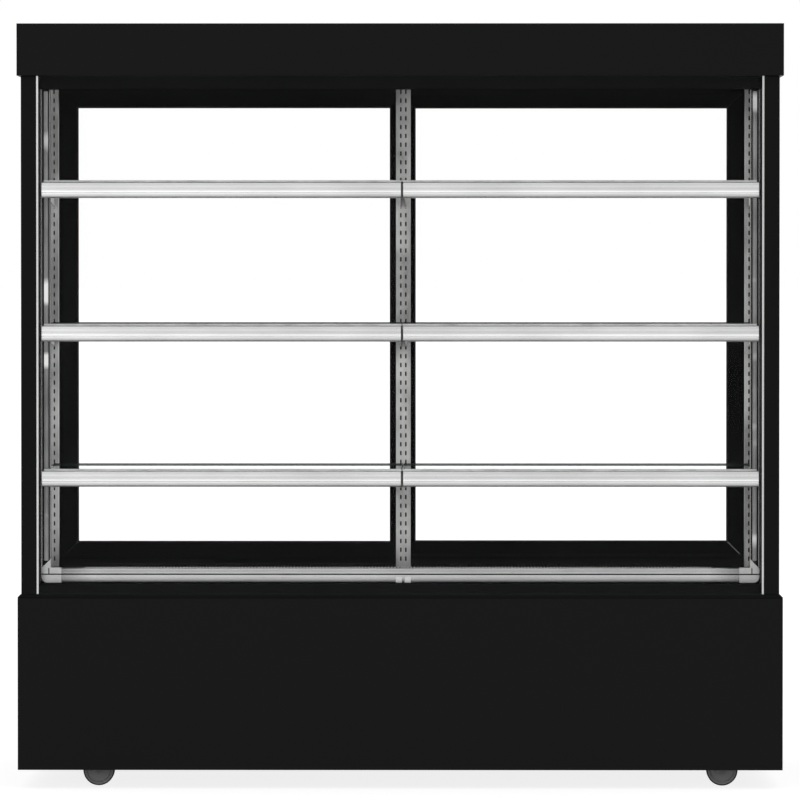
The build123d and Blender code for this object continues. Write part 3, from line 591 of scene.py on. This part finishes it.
def two_finishes(piece, first, second, test):
    """Gives a piece a finish, and a second one on the faces whose place and normal pass a test."""
    for finish in (first, second):
        piece.data.materials.append(FINISHES[finish])
    for face in piece.data.polygons:
        face.material_index = int(test(face.center, face.normal))


def glass_pane(name, node, thin_axis, body):
    """A pane in the place of a CAD node: clear faces and dark polished edges."""
    pane = block(name, *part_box(node))
    round_edges(pane, sizes().glass_round)
    two_finishes(pane, "glass", "edge", lambda at, normal: abs(normal[thin_axis]) < 0.99)
    return finish_piece(pane, None, body, [node])


def dress_node(node, finish, rounding=0.0, edge=None):
    """Gives a CAD node its finish, with live rounding that leaves its own mesh alone."""
    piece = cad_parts[node]
    piece.data.materials.clear()
    piece.data.materials.append(FINISHES[finish])
    if edge:
        piece.data.materials.append(FINISHES[edge])
    if rounding:
        weld = piece.modifiers.new("Weld", "WELD")
        weld.merge_threshold = 0.00001
        bevel = piece.modifiers.new("Rounding", "BEVEL")
        bevel.width = rounding
        bevel.segments = 2
        bevel.limit_method = "ANGLE"
        bevel.angle_limit = math.radians(35)


def arc(centre, radius, start, end, steps):
    """Points on a round stretch, by angle in degrees."""
    points = []
    for step in range(steps + 1):
        angle = math.radians(start + (end - start) * step / steps)
        points.append((centre[0] + radius * math.cos(angle), centre[1] + radius * math.sin(angle)))
    return points


# Operators, one for each piece or group of like pieces

class CASE_OT_finishes(bpy.types.Operator):
    """Makes the finishes"""

    bl_idname = "case.finishes"
    bl_label = "Make finishes"

    def execute(self, context):
        FINISHES.clear()
        FINISHES.update(make_finishes())
        return {"FINISHED"}


class CASE_OT_cabinet(bpy.types.Operator):
    """Coats the canopy, the posts and the panels of the base"""

    bl_idname = "case.cabinet"
    bl_label = "Coat the cabinet"

    def execute(self, context):
        fold = sizes().sheet_round
        for node in (
            "top_canopy", "base_front_panel", "base_side_panel_left", "base_side_panel_right",
            "base_rear_panel",
        ):
            dress_node(node, "coat", fold)
        for node in ("corner_post_left", "corner_post_right", "rear_jambs"):
            dress_node(node, "post", fold)
        for node in ("front_sill", "front_top_rail", "insulated_tub", "ceiling_panel", "base_chassis"):
            dress_node(node, "inner_coat", fold)
        dress_node("glass_trims", "trim", sizes().metal_round)
        return {"FINISHED"}


class CASE_OT_glass(bpy.types.Operator):
    """Cuts the panes, with clear faces and dark polished edges"""

    bl_idname = "case.glass"
    bl_label = "Cut the glass"

    def execute(self, context):
        glass_pane("front_pane", "front_glass", 1, CABINET)
        for side in SIDES:
            glass_pane(f"side_pane_{side}", f"side_glass_{side}", 0, CABINET)
        return {"FINISHED"}


class CASE_OT_uprights(bpy.types.Operator):
    """Punches and folds the slotted uprights"""

    bl_idname = "case.uprights"
    bl_label = "Make the slotted uprights"

    def slotted(self, name, low, high, slot_x, front, z_low, count):
        """One strip of the front web with a column of slots through it."""
        pitch = sizes().slot_pitch
        middle = Vector(((low + high) / 2, front, z_low + pitch / 2))
        strip = self.plain(name, low, high, front, z_low, z_low + pitch)
        inset = 1.5 * MM
        with editing(strip):
            bpy.ops.mesh.select_all(action="SELECT")
            bpy.ops.mesh.inset(thickness=inset)
            bpy.ops.transform.resize(
                value=(
                    sizes().slot_width / (high - low - 2 * inset),
                    1,
                    sizes().slot_height / (pitch - 2 * inset),
                ),
                center_override=middle,
            )
            bpy.ops.transform.translate(value=(slot_x - middle.x, 0, 0))
            bpy.ops.mesh.bevel(offset=0.9 * MM, segments=2, affect="VERTICES")
            pick(
                strip,
                "faces",
                lambda at, normal: abs(at.x - slot_x) < 0.1 * MM and abs(at.z - middle.z) < 0.1 * MM,
            )
            bpy.ops.mesh.delete(type="FACE")
        repeat(strip, count, (0, 0, pitch), use_merge_vertices=True, merge_threshold=WELD_GAP)
        return strip

    def plain(self, name, low, high, front, z_low, z_high):
        """A strip of the front web without slots."""
        bpy.ops.object.select_all(action="DESELECT")
        bpy.ops.mesh.primitive_plane_add(size=1, rotation=(math.pi / 2, 0, 0))
        strip = bpy.context.object
        strip.scale = (high - low, z_high - z_low, 1)
        strip.location = ((low + high) / 2, front, (z_low + z_high) / 2)
        return settle(strip, name)

    def upright(self, name, node, columns, low_x, high_x, foot):
        """A folded channel whose web has the given columns of slots."""
        low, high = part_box(node)
        pitch = sizes().slot_pitch
        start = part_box("deck_panels")[1].z + sizes().first_slot - pitch / 2
        count = int((high.z - start) / pitch)
        stop = start + count * pitch
        borders = [(first + second) / 2 for first, second in zip(columns, columns[1:])]
        edges = [low_x, *borders, high_x]
        strips = []
        for left, right, column in zip(edges, edges[1:], columns):
            strips.append(self.slotted(name, left, right, column, low.y, start, count))
            strips.append(self.plain(name, left, right, low.y, foot, start))
            strips.append(self.plain(name, left, right, low.y, stop, high.z))
        piece = join(name, strips)
        with editing(piece):
            bpy.ops.mesh.select_all(action="SELECT")
            bpy.ops.mesh.remove_doubles(threshold=WELD_GAP)
            pick(
                piece,
                "edges",
                lambda at, along: abs(along.z) > 0.9 and min(abs(at.x - low_x), abs(at.x - high_x)) < 0.0002,
            )
            bpy.ops.mesh.extrude_edges_move(TRANSFORM_OT_translate={"value": (0, high.y - low.y, 0)})
            bpy.ops.mesh.select_all(action="SELECT")
            bpy.ops.mesh.normals_make_consistent(inside=False)
        web_face = max(piece.data.polygons, key=lambda face: face.area if abs(face.normal.y) > 0.9 else 0)
        outward = web_face.normal.y < 0
        apply_modifier(piece, "SOLIDIFY", thickness=1.5 * MM, offset=-1.0 if outward else 1.0)
        select_only(piece)
        bpy.ops.object.shade_smooth_by_angle(angle=math.radians(30))
        return finish_piece(piece, "steel", CABINET, [node])

    def execute(self, context):
        low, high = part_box("pilasters_side")
        width = 14.3 * MM
        for side, sign in SIDES.items():
            outer = high.x if sign > 0 else low.x
            span = sorted((outer, outer - sign * width))
            self.upright(f"upright_{side}", "pilasters_side", [sum(span) / 2], *span, low.z)
        low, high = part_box("pilaster_centre")
        middle = (low.x + high.x) / 2
        gap = 4.1 * MM
        self.upright("upright_centre", "pilaster_centre", [middle - gap, middle + gap], low.x, high.x, low.z)
        dress_node("shelf_brackets", "steel", DRAWN_ROUND)
        return {"FINISHED"}


class CASE_OT_shelves(bpy.types.Operator):
    """Fits the glass shelves and their bright light profiles"""

    bl_idname = "case.shelves"
    bl_label = "Fit the shelves"

    def section(self, low, high, ledge_z):
        """The light profile's outline, as (depth, height): a crowned face over a narrower foot."""
        front, rear, foot, top = low.y, high.y, low.z, high.z
        toe_in, toe_round = 1.2 * MM, 2.4 * MM
        shoulder = foot + 8.5 * MM
        face_in, face_foot = 0.1 * MM, shoulder + 1.2 * MM
        crown, face_lean, face_steps = 2.5 * MM, 0.6 * MM, 8
        face_top, ledge_y = top - crown, rear - 12.0 * MM
        outline = [(rear, foot), *arc((front + toe_in + toe_round, foot + toe_round), toe_round, 270, 180, 5)]
        outline += [(front + toe_in, shoulder - 0.6 * MM), (front + 0.4 * MM, shoulder)]
        outline += [(front + face_in, face_foot)]
        for i in range(1, face_steps):
            turn = math.pi / 2 * i / face_steps
            lean = face_lean * (1 - math.cos(turn)) * math.sin(turn)
            outline.append((front + face_in + lean, face_foot + (face_top - face_foot) * i / face_steps))
        outline += arc((front + face_in + face_lean + crown, face_top), crown, 180, 90, 7)
        outline += [(ledge_y, top), (ledge_y, ledge_z), (rear, ledge_z)]
        return outline

    def execute(self, context):
        split = SPLIT_X
        gap, cap, end_gap, proud = 0.6 * MM, 1.2 * MM, 6.0 * MM, 0.4 * MM
        for tier in TIERS:
            node = f"shelf_lights_{tier}"
            low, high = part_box(node)
            finish = f"bright_{tier}"
            # Painted reflections in bands up each profile's face.
            FINISHES[finish] = bright_aluminium(
                f"bright_aluminium_{tier}", colours().bright, PAINTED_PROFILE_REFLECTIONS, low.z, high.z - low.z
            )
            outline = self.section(low, high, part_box(f"shelf_glass_{tier}")[0].z)
            spans = {"left": (low.x, split - gap - cap), "right": (split + gap + cap, high.x)}
            for side, (x_low, x_high) in spans.items():
                profile = extrusion(f"light_profile_{tier}_{side}", outline, x_low, x_high)
                round_edges(profile, 0.00025, 2, 40)
                finish_piece(profile, finish, CABINET, [node])
                end = x_high if side == "left" else x_low - cap
                end_cap = extrusion(f"light_end_cap_{tier}_{side}", outline, end, end + cap)
                round_edges(end_cap, 0.0002, 2, 40)
                finish_piece(end_cap, "cap", CABINET, [node])
                strip = block(
                    f"light_diffuser_{tier}_{side}",
                    (x_low + end_gap, high.y - 15.0 * MM, low.z - proud),
                    (x_high - end_gap, high.y - 4.0 * MM, low.z + proud),
                )
                round_edges(strip, DRAWN_ROUND)
                finish_piece(strip, "diffuser", CABINET, ())
            node = f"shelf_glass_{tier}"
            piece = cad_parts[node]
            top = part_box(node)[1].z
            FINISHES[f"edge_{tier}"] = glass_edge(f"glass_edge_{tier}", colours().edge, top)
            dress_node(node, "shelf_glass", 0.0, f"edge_{tier}")
            piece.data.materials.append(FINISHES["lit_edge"])
            for face in piece.data.polygons:
                upright = abs(face.normal.z) < 0.9
                face.material_index = 2 if face.normal.y < -0.9 else int(upright)
        return {"FINISHED"}


class CASE_OT_lamps(bpy.types.Operator):
    """Makes the corner lamps and the bright bar along the deck"""

    bl_idname = "case.lamps"
    bl_label = "Make the lamps"

    def execute(self, context):
        low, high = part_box("corner_lights")
        width, wall = MITRE, 1.5 * MM
        for side, sign in SIDES.items():
            outer = high.x if sign > 0 else low.x
            inner = outer - sign * width
            x0, x1 = sorted((outer, inner))
            section = [
                (x0, low.y), (x0 + wall, low.y), (x0 + wall, high.y - wall), (x1 - wall, high.y - wall),
                (x1 - wall, low.y), (x1, low.y), (x1, high.y), (x0, high.y),
            ]
            channel = extrusion(f"lamp_channel_{side}", section, low.z, high.z, "Z")
            with editing(channel):
                bpy.ops.mesh.select_all(action="SELECT")
                bpy.ops.mesh.bisect(
                    plane_co=(outer, 0, low.z + 0.1 * MM),
                    plane_no=(sign, 0, 1),
                    use_fill=True,
                    clear_inner=True,
                )
            round_edges(channel, DRAWN_ROUND, 2, 40)
            two_finishes(
                channel, "channel_edge", "gasket", lambda at, normal: normal.y > -0.7 or at.y > low.y + wall
            )
            finish_piece(channel, None, CABINET, ["corner_lights"])
            self.seal(side, sign, outer, low.y, high.z)
            radius, lift, shorter = 3.4 * MM, 4.0 * MM, 16.0 * MM
            centre = Vector(((x0 + x1) / 2, (low.y + high.y) / 2, (low.z + high.z) / 2 + lift))
            lamp = drum(f"lamp_tube_{side}", centre, radius, high.z - low.z - shorter, "Z", 32)
            with editing(lamp):
                pick(lamp, "faces", lambda at, normal: abs(normal.z) > 0.9)
                bpy.ops.mesh.inset(thickness=0.8 * MM, depth=1.2 * MM)
            round_edges(lamp, MOULDED_ROUND, 2, 40)
            finish_piece(lamp, "lamp", CABINET, ["corner_lights"])
        self.deck_bar()
        return {"FINISHED"}

    def seal(self, side, sign, outer, rear, top):
        """A black seal behind the front glass, from the lamp channel to the bright trim."""
        clear, width = 0.2 * MM, 5.6 * MM
        foot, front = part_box("bottom_light_bar")[0].z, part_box("front_glass")[1].y + clear
        x_low, x_high = sorted((outer + sign * clear, outer + sign * (clear + width)))
        strip = block(f"corner_seal_{side}", (x_low, front, foot), (x_high, rear, top))
        round_edges(strip, SOFT_ROUND)
        finish_piece(strip, "gasket", CABINET, ())

    def deck_bar(self):
        """The bright bar in front of the deck: a lip over a groove over a wide face."""
        low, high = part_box("bottom_light_bar")
        end, curve, chamfer = 32.0 * MM, 2.0 * MM, 1.2 * MM
        top = high.z - MITRE
        front, rear = low.y, high.y
        groove_top, groove_foot, groove_rear = top - 8.4 * MM, top - 10.4 * MM, front + 2.0 * MM
        outline = [(rear, low.z), (front + curve, low.z)]
        outline += arc((front + curve, low.z + curve), curve, 250, 180, 5)
        outline += [
            (front, groove_foot), (groove_rear, groove_foot), (groove_rear, groove_top), (front, groove_top),
            (front, top - chamfer), (front + chamfer, top), (rear, top),
        ]
        # Painted reflections in bands up the bar's face, and painted shade on the last stretch before its
        # ends.
        FINISHES["bright_bar"] = bright_aluminium(
            "bright_aluminium_bar", colours().bright, PAINTED_BAR_REFLECTIONS, low.z, top - low.z, high.x - end
        )
        bar = extrusion("deck_bar", outline, low.x + end, high.x - end)
        round_edges(bar, DRAWN_ROUND, 2, 40)
        slack = 0.2 * MM
        two_finishes(
            bar,
            "bright_bar",
            "gasket",
            lambda at, normal: (
                groove_foot - slack < at.z < groove_top + slack and at.y > front + 0.5 * MM
            ),
        )
        finish_piece(bar, None, CABINET, ["bottom_light_bar"])
        for side, sign in SIDES.items():
            self.corner_block(side, sign, low, high, end, top, (groove_foot, groove_top))
        self.teeth(rear, top, high.x - 70 * MM)
        half_tab, proud, bite, drop = 5.0 * MM, 1.0 * MM, 0.4 * MM, 1.2 * MM
        for number, middle in enumerate((SPLIT_X - 5.2 * MM, SPLIT_X + 9.0 * MM)):
            tab = block(
                f"bar_tab_{number + 1}",
                (middle - half_tab, front - proud, low.z - drop),
                (middle + half_tab, front + bite, groove_foot - 2.0 * MM),
            )
            round_edges(tab, SOFT_ROUND, 3)
            finish_piece(tab, "trim", CABINET, ["bottom_light_bar"])

    def teeth(self, rear, top, reach):
        """The bright toothed lip along the bar's rear edge, which holds the deck's front edge."""
        pitch = sizes().hole_pitch
        width, tip = pitch / 2, top + 1.9 * MM
        low = Vector((-reach, rear - 1.4 * MM, top - 0.6 * MM))
        high = Vector((width - reach, rear - 0.2 * MM, tip))
        tooth = block("bar_teeth", low, high)
        middle = Vector((*((low + high) / 2).xy, tip))
        with editing(tooth):
            pick(tooth, "faces", lambda at, normal: normal.z > 0.9)
            bpy.ops.transform.resize(value=(0.45, 0.7, 1), center_override=middle)
        repeat(tooth, int(2 * reach / pitch), (pitch, 0, 0))
        finish_piece(tooth, "trim", CABINET, ["bottom_light_bar"])

    def corner_block(self, side, sign, low, high, end, top, groove):
        """The cast block at the bar's end, mitred to the upright lamp and cut by the groove."""
        front, rear = low.y, high.y
        outer = high.x if sign > 0 else low.x
        inner = outer - sign * end
        curve, shoulder = 10.0 * MM, 1.0 * MM
        corner = arc((outer - sign * curve, low.z + curve), curve, 270, 360 if sign > 0 else 180, 8)
        outline = [(inner, low.z), *corner, (outer, top), (outer - sign * MITRE, high.z)]
        outline += [(outer - sign * MITRE, top + shoulder), (inner, top + shoulder)]
        cap = extrusion(f"bar_end_{side}", outline, front, rear, "Y")
        cut, half_gap = 2.0 * MM, 0.8 * MM
        gap_x = outer - sign * 12.0 * MM
        cut_out(
            cap,
            (min(outer, inner) - end, front - end, groove[0]),
            (max(outer, inner) + end, front + cut, groove[1]),
        )
        cut_out(
            cap,
            (gap_x - half_gap, front - end, groove[0]),
            (gap_x + half_gap, front + cut, top + 0.5 * MM),
        )
        round_edges(cap, DRAWN_ROUND, 2, 40)
        slack = 0.3 * MM
        two_finishes(cap, "cast", "gasket", lambda at, normal: slack < at.y - front < cut + slack)
        finish_piece(cap, None, CABINET, ["bottom_light_bar"])


class CASE_OT_deck(bpy.types.Operator):
    """Punches the perforated deck panels"""

    bl_idname = "case.deck"
    bl_label = "Punch the deck"

    def execute(self, context):
        low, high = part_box("deck_panels")
        pitch = sizes().hole_pitch
        split, gap = 3.0 * MM, 0.5 * MM
        border = 9.0 * MM
        depth = 385.0 * MM
        sink = 1.0 * MM
        spans = {"left": (low.x, split - gap), "right": (split + gap, high.x)}
        for side, (x_low, x_high) in spans.items():
            tray = block(f"deck_tray_{side}", (x_low, low.y, low.z), (x_high, high.y, high.z - 1.1 * sink))
            with editing(tray):
                pick(tray, "faces", lambda at, normal: normal.z < -0.9)
                bpy.ops.mesh.inset(thickness=1.5 * MM)
                bpy.ops.mesh.extrude_region_move(
                    TRANSFORM_OT_translate={"value": (0, 0, high.z - low.z - 3 * MM)}
                )
            columns = int((x_high - x_low - 2 * border) / pitch)
            rows = int(depth / pitch)
            first_y = low.y + border
            bpy.ops.object.select_all(action="DESELECT")
            bpy.ops.mesh.primitive_grid_add(x_subdivisions=columns, y_subdivisions=rows, size=1)
            grille = bpy.context.object
            grille.scale = (columns * pitch, rows * pitch, 1)
            grille.location = ((x_low + x_high) / 2, first_y + rows * pitch / 2, high.z)
            settle(grille, f"deck_grille_{side}")
            x_edge = (x_low + x_high) / 2 + columns * pitch / 2
            with editing(grille):
                bpy.ops.mesh.select_all(action="SELECT")
                bpy.ops.mesh.inset(thickness=(pitch - sizes().hole_size) / 2, use_individual=True)
                bpy.ops.mesh.inset(thickness=0.02 * MM, depth=-0.9 * sink, use_individual=True)
                self.skirt(
                    grille,
                    Vector((x_low, low.y)),
                    Vector((x_high, high.y)),
                    Vector((x_low + x_high - x_edge, first_y)),
                    Vector((x_edge, first_y + rows * pitch)),
                )
            finish_piece(grille, "deck", CABINET, ["deck_panels"])
            round_edges(tray, SOFT_ROUND)
            finish_piece(tray, "inner_coat", CABINET, ["deck_panels"])
        return {"FINISHED"}

    def skirt(self, grille, low, high, inner_low, inner_high):
        """Carries the sheet on from the grille to the panel's border, and folds it down there."""
        near, straight, fold = 0.1 * MM, 0.9, 1.0 * MM
        for axis in (1, 0):
            for edge, border in ((inner_high[axis], high[axis]), (inner_low[axis], low[axis])):
                step = [0, 0, 0]
                step[axis] = border - edge
                pick(
                    grille,
                    "edges",
                    lambda at, along: abs(at[axis] - edge) < near and abs(along[1 - axis]) > straight,
                )
                bpy.ops.mesh.extrude_edges_move(TRANSFORM_OT_translate={"value": step})
        pick(
            grille,
            "edges",
            lambda at, along: any(
                min(abs(at[axis] - low[axis]), abs(at[axis] - high[axis])) < near
                and abs(along[1 - axis]) > straight
                for axis in (0, 1)
            ),
        )
        bpy.ops.mesh.extrude_edges_move(TRANSFORM_OT_translate={"value": (0, 0, -fold)})


class CASE_OT_doors(bpy.types.Operator):
    """Makes the sliding doors with mitred frames, panes and pulls"""

    bl_idname = "case.doors"
    bl_label = "Make the doors"

    def execute(self, context):
        for side, body in DOORS.items():
            self.door_frame(side, body, f"door_frame_{side}")
            glass_pane(f"door_pane_{side}", f"door_glass_{side}", 1, body)
        dress_node("rear_door_tracks", "door", PRESSED_ROUND)
        return {"FINISHED"}

    def door_frame(self, side, body, frame_node):
        """Four mitred bars, with a hairline at each mitre and a gasket round the pane."""
        low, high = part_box(frame_node)
        width = 30.0 * MM
        hair = 0.15 * MM
        bars = []
        corners = [(low.x, low.z), (high.x, low.z), (high.x, high.z), (low.x, high.z)]
        for i in range(4):
            first, second = corners[i], corners[(i + 1) % 4]
            along = Vector((second[0] - first[0], second[1] - first[1])).normalized()
            inward = Vector((-along.y, along.x))
            start = Vector(first) + along * hair
            stop = Vector(second) - along * hair
            outline = [start, stop, stop + (inward - along) * width, start + (inward + along) * width]
            bar = extrusion(f"bar_{i}", outline, low.y, high.y, "Y")
            round_edges(bar, SOFT_ROUND, 2, 40)
            bars.append(bar)
        piece = join(f"door_bars_{side}", bars)
        finish_piece(piece, "door", body, [frame_node])
        window = (low.x + width, high.x - width, low.z + width, high.z - width)
        self.gasket(side, body, window, low.y, high.y)
        stile = low.x + width / 2 if side == "left" else high.x - width / 2
        self.pull(side, body, stile, (low.z + high.z) / 2, high.y)

    def gasket(self, side, body, window, front, rear):
        """A thin rubber bead round the pane on both faces of the frame."""
        x0, x1, z0, z1 = window
        bead, depth, sunk = 2.2 * MM, 1.6 * MM, 2.5 * MM
        pieces = []
        for face_y in (front + sunk, rear - sunk - depth):
            for low, high in (
                ((x0, z0), (x1, z0 + bead)), ((x0, z1 - bead), (x1, z1)),
                ((x0, z0 + bead), (x0 + bead, z1 - bead)), ((x1 - bead, z0 + bead), (x1, z1 - bead)),
            ):
                strip = block("bead", (low[0], face_y, low[1]), (high[0], face_y + depth, high[1]))
                round_edges(strip, MOULDED_ROUND)
                pieces.append(strip)
        finish_piece(join(f"door_gasket_{side}", pieces), "gasket", body, ())

    def pull(self, side, body, x, z, rear):
        """A shallow cup pull let into the stile's rear face."""
        half_width, half_height = 9.0 * MM, 65.0 * MM
        sunk, proud, rim, slope, hollow = 3.4 * MM, 0.4 * MM, 2.0 * MM, 1.2 * MM, 2.8 * MM
        cup = block(
            f"door_pull_{side}",
            (x - half_width, rear - sunk, z - half_height),
            (x + half_width, rear + proud, z + half_height),
        )
        with editing(cup):
            pick(cup, "faces", lambda at, normal: normal.y > 0.9)
            bpy.ops.mesh.inset(thickness=rim)
            bpy.ops.mesh.inset(thickness=slope, depth=-hollow)
        round_edges(cup, MOULDED_ROUND)
        finish_piece(cup, "plastic", body, ())


class CASE_OT_castors(bpy.types.Operator):
    """Makes the castors' wheels and forks"""

    bl_idname = "case.castors"
    bl_label = "Make the castors"

    def execute(self, context):
        dress_node("castor_plates", "zinc", PRESSED_ROUND)
        for place in CASTORS:
            self.wheel(place)
            dress_node(f"castor_fork_{place}", "fork", PRESSED_ROUND)
        return {"FINISHED"}

    def turn(self, steps):
        """Turned steps in the picked ends, each as (inset, height) in millimetres from the rim inwards."""
        for inset, height in steps:
            bpy.ops.mesh.inset(thickness=inset * MM, depth=height * MM)

    def wheel(self, place):
        """A tyre round a webbed hub, turned about the axle."""
        node = f"castor_wheel_{place}"
        low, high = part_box(node)
        centre = (low + high) / 2
        radius, width = (high.z - low.z) / 2, high.y - low.y
        tyre = drum(f"tyre_{place}", centre, radius, width, "Y", 64)
        with editing(tyre):
            pick(tyre, "faces", lambda at, normal: abs(normal.y) > 0.9)
            self.turn(((1.6, 0.0), (0.4, -5.0)))
        round_edges(tyre, MOULDED_ROUND, 3)
        finish_piece(tyre, "tyre", f"wheel_{place}", [node])
        hub = drum(f"wheel_hub_{place}", centre, radius - 1.9 * MM, width - 1.2 * MM, "Y", 64)
        with editing(hub):
            pick(hub, "faces", lambda at, normal: abs(normal.y) > 0.9)
            self.turn(((3.2, 0.0), (0.3, -2.4), (1.4, 0.0), (0.3, 2.0), (9.0, 0.0), (0.5, 0.8)))
        round_edges(hub, DRAWN_ROUND)
        finish_piece(hub, "hub", f"wheel_{place}", ())


class CASE_OT_machine(bpy.types.Operator):
    """Finishes what the base holds"""

    bl_idname = "case.machine"
    bl_label = "Finish the machine base"

    def execute(self, context):
        dress_node("compressor", "gloss")
        for node in ("condenser_coil", "evaporator_coil"):
            dress_node(node, "fins")
        for node in ("condenser_fan_mount", "evaporator_fan_mount", "condensate_pan", "panel_screws"):
            dress_node(node, "zinc", DRAWN_ROUND)
        for node in ("condenser_fan", "evaporator_fan", "power_inlet"):
            dress_node(node, "plastic")
        dress_node("control_box", "panel", MOULDED_ROUND)
        dress_node("refrigerant_lines", "copper")
        for key in ("set", "up", "down"):
            dress_node(f"{key}_button", "key", SOFT_ROUND)
        for use in ("light", "power"):
            dress_node(f"{use}_rocker", "gloss", MOULDED_ROUND)
        return {"FINISHED"}


class CASE_OT_stage(bpy.types.Operator):
    """Sets the floor, the lamps and the camera"""

    bl_idname = "case.stage"
    bl_label = "Set the stage"

    def execute(self, context):
        self.floor()
        self.world()
        self.lamps()
        self.camera()
        context.scene.view_settings.view_transform = "Standard"
        return {"FINISHED"}

    def floor(self):
        bpy.ops.object.select_all(action="DESELECT")
        bpy.ops.mesh.primitive_plane_add(size=400.0)
        floor = bpy.context.object
        floor.name = "floor"
        material = bpy.data.materials.new("pale_floor")
        material.use_nodes = True
        tree = material.node_tree
        shader = tree.nodes["Principled BSDF"]
        shader.inputs["Base Color"].default_value = (0.3, 0.3, 0.3, 1)
        shader.inputs["Roughness"].default_value = 0.9
        shader.inputs["Specular IOR Level"].default_value = 0.0
        shader.inputs["Emission Color"].default_value = (1, 1, 1, 1)
        tree.links.new(background_rays(tree, 0.84).socket, shader.inputs["Emission Strength"])
        floor.data.materials.append(material)

    def world(self):
        world = bpy.data.worlds.new("soft_surround")
        bpy.context.scene.world = world
        world.use_nodes = True
        tree = world.node_tree
        background = tree.nodes["Background"]
        background.inputs["Color"].default_value = (1, 1, 1, 1)
        strength = background_rays(tree, 0.2) + 0.8
        tree.links.new(strength.socket, background.inputs["Strength"])

    def lamps(self):
        settings = bpy.context.scene.case_stage
        places = (
            ("key_lamp", (-3.0, -8.4, 1.1), 1.8, settings.key_power),
            ("fill_lamp", (3.4, -3.6, 2.6), 2.6, settings.key_power * 0.3),
        )
        for name, place, size, power in places:
            data = bpy.data.lights.new(name, "AREA")
            data.shape = "SQUARE"
            data.size = size
            data.energy = power
            lamp = bpy.data.objects.new(name, data)
            bpy.context.scene.collection.objects.link(lamp)
            lamp.location = place
            aim = Vector((0, 0, 0.6)) - Vector(place)
            lamp.rotation_euler = aim.to_track_quat("-Z", "Y").to_euler()

    def camera(self):
        settings = bpy.context.scene.case_stage
        front = CAD_BOX[0][1]
        data = bpy.data.cameras.new("camera")
        camera = bpy.data.objects.new("camera", data)
        bpy.context.scene.collection.objects.link(camera)
        camera.location = (settings.eye_side, front - settings.distance, settings.eye_height)
        aim = Vector((settings.aim_side, front, settings.aim_height)) - camera.location
        camera.rotation_euler = aim.to_track_quat("-Z", "Y").to_euler()
        data.sensor_width = 36.0
        data.lens = 36.0 * aim.length / settings.picture_width
        data.clip_end = 1000.0
        bpy.context.scene.camera = camera


def background_rays(tree, amount):
    """An amount for rays that see the background: from the camera, a mirror or through glass."""
    path = tree.nodes.new("ShaderNodeLightPath")
    seen = Value(tree, path.outputs["Is Camera Ray"])
    for ray in ("Is Glossy Ray", "Is Transmission Ray"):
        seen = seen.math("MAXIMUM", Value(tree, path.outputs[ray]))
    return seen * amount


class CASE_PT_panel(bpy.types.Panel):
    """Lists the steps that build the case"""

    bl_idname = "CASE_PT_panel"
    bl_label = "Display case"
    bl_space_type = "VIEW_3D"
    bl_region_type = "UI"
    bl_category = "Display case"

    def draw(self, context):
        for step in STEPS:
            self.layout.operator(step.bl_idname)
        for group in ("case_sizes", "case_colours", "case_stage"):
            settings = getattr(context.scene, group)
            for name in settings.__annotations__:
                self.layout.prop(settings, name)


STEPS = (
    CASE_OT_finishes,
    CASE_OT_cabinet,
    CASE_OT_glass,
    CASE_OT_uprights,
    CASE_OT_shelves,
    CASE_OT_lamps,
    CASE_OT_deck,
    CASE_OT_doors,
    CASE_OT_castors,
    CASE_OT_machine,
    CASE_OT_stage,
)
CLASSES = (CaseSizes, CaseColours, StageSettings, *STEPS, CASE_PT_panel)


def register():
    for made in CLASSES:
        bpy.utils.register_class(made)
    bpy.types.Scene.case_sizes = PointerProperty(type=CaseSizes)
    bpy.types.Scene.case_colours = PointerProperty(type=CaseColours)
    bpy.types.Scene.case_stage = PointerProperty(type=StageSettings)


def unregister():
    del bpy.types.Scene.case_stage
    del bpy.types.Scene.case_colours
    del bpy.types.Scene.case_sizes
    for made in reversed(CLASSES):
        bpy.utils.unregister_class(made)


def main():
    register()
    for step in STEPS:
        family, name = step.bl_idname.split(".")
        getattr(getattr(bpy.ops, family), name)()


if __name__ == "__main__":
    main()
